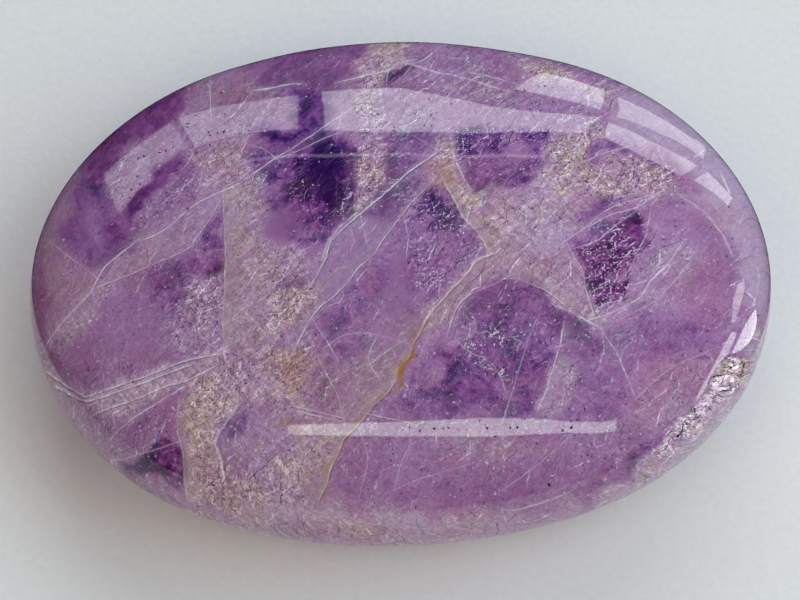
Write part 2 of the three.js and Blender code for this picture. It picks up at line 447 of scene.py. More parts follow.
# zones of colour: how soft the edge is, what the zone is made of, and its outline in the picture
# depth: how dark the violet is; magenta: how red it is; milk: cloudy quartz; warm: how cream the cloud is
# grain: sandy speckle; sparkle: bright flaws; calm: free of both; clear: see-through; iron: rusty stain
# a later zone covers the ones before it, and leaves what it doesn't name
zones = {
    "leftRim": (1.2, {"depth": 0.33, "milk": 0.34, "warm": 0.6, "magenta": 0.5, "calm": 0.4}, [
        (31, 300), (36, 240), (52, 205), (75, 185), (88, 215), (72, 250), (98, 285), (60, 330),
        (40, 350)]),
    "leftEdge": (0.6, {"depth": 0.5, "milk": 0.2, "magenta": 0.9}, [
        (33, 270), (47, 276), (52, 340), (60, 372), (42, 365), (33, 325)]),
    "upperLeft": (1.2, {"depth": 0.62, "milk": 0.1, "magenta": 0.15, "calm": 0.4}, [
        (72, 185), (96, 160), (118, 215), (135, 205), (128, 245), (108, 262), (78, 262), (62, 235)]),
    "upperLeftDark": (0.8, {"depth": 0.85, "magenta": 0.1, "calm": 0.6}, [
        (92, 172), (104, 180), (112, 205), (106, 214), (94, 198), (88, 184)]),
    "upperLeftRimBand": (0.5, {"depth": 0.64, "milk": 0.02, "magenta": 0.6, "calm": 0.45}, [
        (76, 172), (82, 156), (98, 136), (118, 118), (140, 102), (162, 88), (182, 82), (186, 102),
        (182, 112), (170, 121), (140, 143), (104, 172), (100, 185), (88, 184)]),
    "stripUnderPane": (0.35, {"depth": 0.82, "milk": 0.02, "magenta": 0.6, "calm": 0.5}, [
        (182, 148), (187, 158), (170, 175), (158, 190), (147, 203), (128, 222), (118, 217), (133, 198),
        (150, 178), (165, 160)]),
    "darkUnderStrip": (0.6, {"depth": 0.66, "milk": 0.03, "magenta": 0.3, "calm": 0.3}, [
        (118, 216), (131, 205), (133, 222), (122, 236), (112, 243), (106, 232)]),
    "greyUnderStrip": (0.8, {"depth": 0.7, "milk": 0.2, "warm": 0.1, "grain": 0.6, "sparkle": 0.3}, [
        (186, 158), (205, 150), (208, 175), (195, 195), (170, 215), (150, 230), (138, 236), (140, 222),
        (158, 195)]),
    "topLeftRim": (0.8, {"depth": 0.55, "milk": 0.35, "warm": 0.7, "magenta": 0.5, "calm": 0.3}, [
        (188, 92), (245, 66), (262, 60), (258, 88), (232, 108), (206, 112), (192, 112)]),
    "topRimViolet": (0.9, {"depth": 0.58, "milk": 0.08, "magenta": 0.55, "calm": 0.3}, [
        (245, 64), (300, 50), (365, 43), (368, 62), (345, 82), (300, 95), (262, 90), (250, 80)]),
    "topCream": (0.4, {"depth": 0.3, "milk": 0.66, "warm": 0.75, "grain": 0.4}, [
        (366, 42), (402, 40), (412, 52), (398, 64), (388, 82), (372, 90), (366, 70)]),
    "paneGap": (0.5, {"depth": 0.78, "milk": 0.02, "magenta": 0.2, "calm": 0.3}, [
        (290, 92), (330, 92), (328, 132), (296, 132)]),
    "darkTriangle": (0.15, {"depth": 0.85, "milk": 0.0, "magenta": 0.7}, [
        (387, 87), (389, 71), (398, 65), (411, 66), (400, 78)]),
    "topViolet": (0.8, {"depth": 0.5, "milk": 0.25, "magenta": 0.55}, [
        (414, 44), (470, 46), (512, 56), (506, 72), (485, 82), (455, 70), (437, 66), (418, 60)]),
    "topMilkyFan": (0.8, {"depth": 0.52, "milk": 0.42, "warm": 0.2, "grain": 0.2}, [
        (412, 66), (440, 70), (500, 90), (560, 104), (540, 112), (470, 104), (430, 100), (395, 95)]),
    "topRightRim": (0.7, {"depth": 0.35, "milk": 0.5, "warm": 0.6, "magenta": 0.5}, [
        (512, 54), (560, 66), (600, 84), (625, 98), (606, 104), (560, 84), (525, 80)]),
    # paler at the thin rim: partly the stone's own colour, partly painted light that comes through the edge
    "rightRim": (1.2, {"depth": 0.05, "milk": 0.48, "warm": 0.0, "magenta": 0.3, "grain": 0.0,
        "sparkle": 0.0, "calm": 0.5}, [
        (620, 92), (660, 100), (712, 134), (750, 180), (772, 230), (784, 280), (784, 330), (750, 310),
        (742, 290), (738, 260), (725, 238), (711, 222), (690, 196), (700, 180), (650, 150), (612, 125)]),
    "underPaneGrey": (0.5, {"depth": 0.84, "milk": 0.18, "warm": 0.5, "magenta": 0.5}, [
        (396, 130), (430, 130), (440, 152), (425, 158), (398, 152)]),
    "yellowCream": (0.4, {"depth": 0.42, "milk": 0.55, "warm": 0.95, "grain": 0.6}, [
        (434, 141), (456, 141), (458, 160), (468, 187), (462, 200), (446, 190), (430, 184), (423, 176),
        (430, 160)]),
    "upperIron": (0.9, {"iron": 0.4}, [
        (426, 163), (446, 158), (454, 176), (444, 188), (428, 184)]),
    "underPaneDark": (0.5, {"depth": 0.8, "milk": 0.02, "magenta": 0.15, "sparkle": 0.8}, [
        (459, 128), (543, 128), (541, 150), (500, 155), (460, 152)]),
    "underPaneViolet": (0.6, {"depth": 0.8, "milk": 0.08, "magenta": 0.6, "sparkle": 0.5}, [
        (458, 156), (540, 156), (538, 172), (520, 188), (480, 190), (466, 186)]),
    "creamColumn": (0.7, {"depth": 0.36, "milk": 0.6, "warm": 0.9, "grain": 0.6}, [
        (547, 130), (584, 130), (602, 120), (614, 135), (596, 160), (592, 178), (580, 200), (556, 196),
        (543, 180), (544, 158)]),
    "darkOverBlob": (1.0, {"depth": 1.0, "milk": 0.0, "magenta": 0.1, "sparkle": 0.3, "calm": 0.2}, [
        (262, 130), (300, 127), (332, 130), (340, 146), (318, 156), (290, 152), (266, 148)]),
    "leftOfBlob": (1.0, {"depth": 0.86, "milk": 0.06, "magenta": 0.2, "sparkle": 0.45}, [
        (252, 152), (300, 150), (340, 220), (335, 246), (304, 252), (278, 240), (262, 212), (250, 190)]),
    "darkBlob": (1.5, {"depth": 0.88, "milk": 0.0, "magenta": 0.45, "sparkle": 0.4}, [
        (290, 140), (318, 136), (346, 142), (356, 165), (354, 196), (342, 226), (322, 240), (304, 230),
        (292, 205), (285, 170)]),
    "darkBlobCore": (1.1, {"depth": 1.08, "milk": 0.0, "magenta": 0.0, "sparkle": 0.0, "calm": 0.3}, [
        (305, 150), (322, 142), (342, 147), (350, 166), (343, 185), (331, 197), (324, 210), (316, 204),
        (311, 188), (303, 170)]),
    "calmViolet": (0.7, {"depth": 0.58, "milk": 0.08, "magenta": 0.3, "sparkle": 0.0, "grain": 0.0,
        "calm": 0.7}, [
        (268, 210), (292, 208), (298, 225), (290, 243), (274, 236)]),
    "rightOfBlob": (0.5, {"depth": 0.82, "milk": 0.08, "magenta": 0.55, "sparkle": 0.6}, [
        (344, 150), (357, 150), (360, 205), (350, 226), (340, 232)]),
    "creamBandMiddle": (1.0, {"depth": 0.36, "milk": 0.49, "warm": 0.45, "grain": 0.45, "sparkle": 0.2}, [
        (222, 186), (232, 160), (258, 172), (266, 205), (274, 236), (300, 250), (312, 262), (318, 285),
        (300, 320), (262, 352), (238, 345), (223, 340)]),
    "creamBandTop": (0.9, {"depth": 0.35, "milk": 0.5, "warm": 0.55, "grain": 0.4}, [
        (192, 150), (240, 135), (248, 158), (232, 176), (215, 190), (200, 200), (196, 175)]),
    "creamBandRight": (0.35, {"depth": 0.34, "milk": 0.5, "warm": 0.4, "grain": 0.9}, [
        (358, 60), (382, 60), (382, 120), (380, 175), (372, 195), (362, 206), (358, 190)]),
    "underPaneMid": (0.6, {"depth": 0.68, "milk": 0.15, "magenta": 0.3, "sparkle": 0.4}, [
        (382, 133), (398, 133), (426, 158), (424, 164), (400, 180), (384, 190)]),
    "veinBand": (0.5, {"depth": 0.5, "milk": 0.36, "warm": 0.0, "magenta": 0.0, "grain": 0.15,
        "calm": 0.4}, [
        (352, 222), (392, 196), (402, 222), (379, 246), (350, 278), (320, 305), (313, 285), (326, 256),
        (338, 236)]),
    "magentaPatch": (0.7, {"depth": 0.58, "milk": 0.2, "magenta": 0.9}, [
        (280, 278), (302, 272), (306, 292), (290, 302), (278, 296)]),
    "tanPatch": (0.6, {"milk": 0.66, "warm": 1.0, "grain": 0.7}, [
        (262, 318), (290, 302), (318, 286), (322, 298), (300, 318), (270, 340), (258, 338)]),
    "wedge": (0.4, {"depth": 0.3, "milk": 0.46, "warm": 0.1, "grain": 0.1, "sparkle": 0.0, "calm": 0.3}, [
        (112, 262), (142, 242), (164, 234), (193, 210), (222, 193), (215, 211), (197, 238), (177, 254),
        (158, 262), (145, 268), (107, 281)]),
    "underWedge": (0.8, {"depth": 0.62, "milk": 0.1, "magenta": 0.5, "sparkle": 0.3}, [
        (151, 269), (172, 260), (194, 250), (206, 262), (196, 290), (189, 324), (165, 318), (150, 300)]),
    "besideBand": (0.4, {"depth": 0.78, "milk": 0.08, "magenta": 0.35, "sparkle": 0.4}, [
        (200, 240), (222, 205), (223, 262), (212, 266), (200, 256)]),
    "magentaSpot": (0.5, {"depth": 0.98, "milk": 0.0, "magenta": 1.0}, [
        (207, 268), (223, 264), (222, 282), (212, 286)]),
    "leftViolet": (1.2, {"depth": 0.42, "milk": 0.16, "magenta": 0.35, "calm": 0.3}, [
        (100, 292), (150, 290), (162, 340), (120, 362), (75, 368), (58, 350), (82, 318)]),
    "leftVeil": (0.8, {"depth": 0.3, "milk": 0.56, "warm": 0.3}, [
        (97, 280), (112, 284), (96, 315), (76, 336), (58, 352), (50, 342), (76, 308)]),
    "greyBesideBand": (0.9, {"depth": 0.46, "milk": 0.48, "warm": 0.2, "grain": 0.5, "sparkle": 0.5}, [
        (190, 286), (222, 278), (223, 345), (200, 356), (176, 332)]),
    "chevronBand": (0.6, {"depth": 0.2, "milk": 0.7, "warm": 0.3, "grain": 0.1}, [
        (52, 382), (86, 394), (180, 360), (226, 346), (232, 366), (216, 382), (180, 392), (120, 416),
        (100, 412), (60, 396)]),
    "lowerLeftViolet": (0.8, {"depth": 0.4, "milk": 0.12, "magenta": 0.55, "sparkle": 0.3}, [
        (104, 428), (150, 404), (178, 390), (177, 410), (183, 445), (160, 450), (125, 458), (112, 448)]),
    "darkCorner": (0.35, {"depth": 1.02, "milk": 0.0, "magenta": 0.9, "sparkle": 0.1}, [
        (121, 459), (150, 450), (180, 443), (186, 470), (187, 494), (166, 489), (142, 477)]),
    # paler at the thin rim: partly the stone's own colour, partly painted light that comes through the edge
    "lowerLeftRim": (0.45, {"depth": 0.42, "milk": 0.45, "warm": 0.5, "magenta": 1.0, "calm": 0.4}, [
        (52, 372), (72, 405), (92, 436), (118, 461), (142, 480), (166, 493), (196, 508), (235, 522),
        (235, 534), (190, 518), (150, 500), (120, 476), (85, 448), (60, 418), (42, 384)]),
    "creamBandLower": (0.6, {"depth": 0.3, "milk": 0.74, "warm": 0.65, "grain": 0.7}, [
        (178, 411), (200, 380), (230, 362), (262, 360), (240, 400), (222, 425), (216, 450), (226, 475),
        (234, 505), (215, 522), (194, 513), (186, 487), (183, 455), (178, 435)]),
    "yellowBrown": (0.7, {"milk": 0.6, "warm": 1.0, "iron": 0.08, "grain": 1.0}, [
        (188, 462), (216, 458), (232, 480), (236, 506), (215, 517), (196, 507)]),
    "darkFacet": (0.3, {"depth": 0.8, "milk": 0.15, "warm": 0.6, "grain": 0.0}, [
        (230, 411), (246, 410), (250, 425), (243, 445), (226, 440), (224, 424)]),
    "lilacFacet": (0.6, {"depth": 0.38, "milk": 0.42, "warm": 0.35, "grain": 0.1}, [
        (228, 447), (250, 428), (282, 415), (292, 430), (272, 458), (250, 482), (230, 478)]),
    "milkyLowerLeft": (1.0, {"depth": 0.35, "milk": 0.58, "warm": 0.85, "grain": 0.5, "sparkle": 0.3}, [
        (230, 360), (262, 352), (300, 345), (330, 380), (345, 415), (340, 440), (320, 470), (300, 500),
        (262, 520), (240, 515), (232, 480), (272, 462), (295, 430), (270, 405), (245, 400)]),
    "brownGrains": (0.7, {"depth": 0.62, "milk": 0.55, "warm": 1.0, "iron": 0.3, "grain": 1.0}, [
        (278, 358), (300, 352), (304, 372), (292, 386), (276, 380)]),
    "leftOfOrange": (0.9, {"depth": 0.56, "milk": 0.26, "warm": 0.85, "magenta": 0.7, "grain": 0.2}, [
        (330, 342), (372, 345), (402, 350), (395, 375), (375, 400), (350, 430), (325, 430), (310, 400),
        (305, 370)]),
    "underVeins": (1.0, {"depth": 0.65, "milk": 0.14, "warm": 0.1, "magenta": 0.3}, [
        (400, 228), (420, 250), (416, 300), (418, 325), (400, 345), (365, 352), (330, 350), (312, 322),
        (318, 312), (350, 280), (380, 248)]),
    "smoothLilac": (1.0, {"depth": 0.5, "milk": 0.25, "warm": 0.0, "magenta": 0.1, "grain": 0.0,
        "calm": 0.6}, [
        (384, 256), (412, 250), (420, 280), (414, 312), (392, 312), (382, 285)]),
    "centreDark": (1.0, {"depth": 0.72, "milk": 0.04, "magenta": 0.2, "sparkle": 0.8}, [
        (378, 190), (400, 182), (425, 178), (440, 190), (452, 205), (460, 222), (450, 236), (428, 240),
        (404, 232), (388, 218), (366, 214)]),
    "centreViolet": (0.9, {"depth": 0.62, "milk": 0.2, "magenta": 0.2, "sparkle": 0.6}, [
        (408, 238), (450, 238), (472, 234), (480, 250), (465, 265), (450, 280), (425, 298), (412, 286),
        (404, 262)]),
    "centreCream": (0.6, {"depth": 0.32, "milk": 0.48, "warm": 0.3, "grain": 0.2, "sparkle": 0.2}, [
        (441, 180), (470, 190), (500, 196), (540, 180), (560, 196), (590, 200), (590, 222), (566, 242),
        (580, 262), (592, 300), (594, 318), (574, 314), (545, 290), (518, 280), (502, 280), (488, 254),
        (485, 241), (469, 229), (460, 212)]),
    "creamHeart": (0.9, {"milk": 0.66, "warm": 0.85, "grain": 0.3}, [
        (478, 222), (500, 204), (540, 196), (556, 178), (566, 186), (540, 218), (520, 244), (490, 252),
        (484, 238)]),
    "creamCorner": (0.5, {"milk": 0.66, "warm": 0.75, "grain": 0.4}, [
        (446, 184), (462, 190), (474, 200), (470, 212), (460, 208)]),
    "pinkUnderCream": (0.8, {"depth": 0.4, "milk": 0.44, "warm": 0.6, "magenta": 0.7}, [
        (490, 256), (520, 244), (545, 252), (552, 276), (545, 288), (518, 280), (502, 278)]),
    "lowerViolet": (0.6, {"depth": 0.63, "milk": 0.1, "magenta": 0.35, "sparkle": 0.25}, [
        (462, 299), (482, 289), (502, 282), (518, 281), (545, 291), (574, 315), (590, 322), (602, 338),
        (590, 380), (560, 414), (505, 420), (450, 418), (412, 415), (394, 396), (404, 374), (425, 352),
        (446, 330)]),
    "lowerVioletTop": (0.6, {"depth": 0.66, "magenta": 0.5, "sparkle": 0.5}, [
        (500, 284), (530, 285), (545, 296), (530, 304), (505, 300)]),
    "lowerVioletMiddle": (0.9, {"depth": 0.74, "magenta": 0.2, "sparkle": 0.5}, [
        (470, 318), (520, 316), (556, 328), (552, 352), (530, 372), (500, 350), (468, 338)]),
    "lowerVioletLeft": (0.9, {"depth": 0.72, "milk": 0.02, "magenta": 0.35}, [
        (440, 352), (480, 350), (494, 372), (490, 394), (462, 396), (440, 384)]),
    "tanSlope": (0.6, {"depth": 0.4, "milk": 0.42, "warm": 0.35, "grain": 0.2}, [
        (486, 256), (502, 279), (482, 287), (462, 298), (445, 328), (425, 346), (424, 325), (431, 308),
        (454, 285), (469, 271)]),
    "flecksOne": (0.3, {"sparkle": 2.0}, [
        (484, 329), (497, 326), (509, 333), (505, 345), (490, 344)]),
    "flecksTwo": (0.3, {"sparkle": 2.0}, [
        (461, 344), (474, 343), (481, 352), (471, 359), (461, 354)]),
    "flecksThree": (0.3, {"sparkle": 1.6}, [
        (476, 360), (492, 364), (506, 378), (501, 386), (487, 375)]),
    "flecksFour": (0.4, {"sparkle": 1.4}, [
        (414, 257), (440, 258), (447, 272), (438, 284), (420, 282)]),
    "pocket": (0.3, {"depth": 0.9, "milk": 0.03, "magenta": 1.0, "sparkle": 1.6}, [
        (580, 246), (600, 234), (629, 214), (650, 219), (643, 249), (624, 279), (629, 299), (594, 313),
        (584, 288)]),
    "pocketGlow": (0.6, {"depth": 1.0, "magenta": 1.0, "sparkle": 0.0}, [
        (626, 220), (646, 224), (642, 238), (628, 238)]),
    "overPocket": (0.4, {"depth": 0.76, "milk": 0.12, "magenta": 0.3, "sparkle": 0.4}, [
        (568, 241), (590, 226), (618, 217), (614, 226), (598, 240), (580, 248)]),
    "upperRightViolet": (0.5, {"depth": 0.6, "milk": 0.1, "magenta": 0.4}, [
        (590, 139), (623, 136), (644, 148), (624, 152), (593, 162), (588, 152)]),
    "upperRightCloud": (0.9, {"depth": 0.35, "milk": 0.62, "warm": 0.45, "grain": 0.7}, [
        (592, 165), (625, 154), (650, 162), (676, 180), (682, 192), (640, 202), (602, 206), (588, 196)]),
    "upperRightPink": (0.8, {"depth": 0.5, "milk": 0.1, "magenta": 0.8}, [
        (634, 148), (660, 150), (692, 172), (702, 190), (680, 188), (655, 167)]),
    "darkNotch": (0.5, {"depth": 0.68, "milk": 0.08, "magenta": 0.3}, [
        (578, 222), (592, 206), (612, 197), (622, 200), (606, 212), (590, 224)]),
    "rightViolet": (1.2, {"depth": 0.42, "milk": 0.22, "magenta": 0.45, "grain": 0.05, "calm": 0.3}, [
        (648, 205), (690, 198), (712, 222), (726, 242), (738, 262), (726, 300), (716, 335), (700, 300),
        (690, 250), (652, 225)]),
    "rightPink": (1.2, {"depth": 0.32, "milk": 0.1, "magenta": 0.7, "calm": 0.2}, [
        (680, 262), (715, 262), (722, 300), (712, 330), (680, 325), (670, 295)]),
    "rightVeil": (0.9, {"depth": 0.34, "milk": 0.38, "warm": 0.05, "grain": 0.15}, [
        (594, 318), (630, 294), (650, 264), (683, 243), (702, 248), (690, 275), (660, 302), (640, 310),
        (605, 332)]),
    "lowerRightViolet": (1.3, {"depth": 0.56, "milk": 0.08, "magenta": 0.4}, [
        (602, 338), (640, 312), (700, 322), (716, 345), (700, 368), (650, 366), (640, 400), (600, 430),
        (560, 415), (590, 380)]),
    "pinkBrown": (1.3, {"depth": 0.42, "milk": 0.3, "warm": 0.75, "magenta": 0.7}, [
        (636, 374), (700, 352), (716, 365), (700, 400), (668, 430), (640, 425), (628, 400)]),
    "bottomViolet": (1.4, {"depth": 0.43, "milk": 0.16, "magenta": 0.4, "sparkle": 0.12, "calm": 0.2}, [
        (365, 442), (620, 438), (660, 440), (640, 470), (590, 500), (520, 518), (440, 524), (380, 505),
        (330, 500), (345, 455)]),
    "milkyUnderStrip": (0.7, {"depth": 0.4, "milk": 0.42, "warm": 0.1}, [
        (412, 438), (540, 438), (552, 450), (520, 462), (470, 460), (430, 452)]),
    # paler at the thin rim: partly the stone's own colour, partly painted light that comes through the edge
    "bottomRim": (1.1, {"depth": 0.12, "milk": 0.62, "warm": 0.5, "magenta": 0.7, "calm": 0.3}, [
        (225, 518), (330, 503), (400, 514), (520, 524), (600, 500), (650, 470), (668, 490), (606, 528),
        (522, 550), (400, 562), (300, 558), (236, 546)]),
    # paler at the thin rim: partly the stone's own colour, partly painted light that comes through the edge
    "bottomRightRim": (1.0, {"depth": 0.02, "milk": 0.85, "warm": 0.55, "magenta": 0.6, "calm": 0.4}, [
        (602, 508), (640, 484), (668, 457), (697, 430), (722, 400), (744, 360), (752, 328), (784, 345),
        (752, 420), (704, 470), (650, 506), (616, 522)]),
    "bubblyHollow": (0.2, {"depth": 0.1, "milk": 0.95, "warm": 0.5, "grain": 1.0, "sparkle": 1.0,
        "clear": 0.0},
        hollows["bubbly"]["outline"]),
    "brokenHollow": (0.2, {"depth": 0.1, "milk": 1.0, "warm": 0.6, "grain": 1.0, "sparkle": 1.0,
        "clear": 0.0},
        hollows["broken"]["outline"]),
    "magentaAlongRim": (0.5, {"depth": 0.68, "milk": 0.05, "magenta": 0.85}, [
        (575, 490), (640, 450), (680, 424), (676, 434), (630, 472), (590, 498)]),
    "milkyWedge": (0.5, {"depth": 0.35, "milk": 0.36, "warm": 0.05}, [
        (560, 352), (578, 372), (572, 400), (555, 418), (540, 412), (550, 380)]),
}
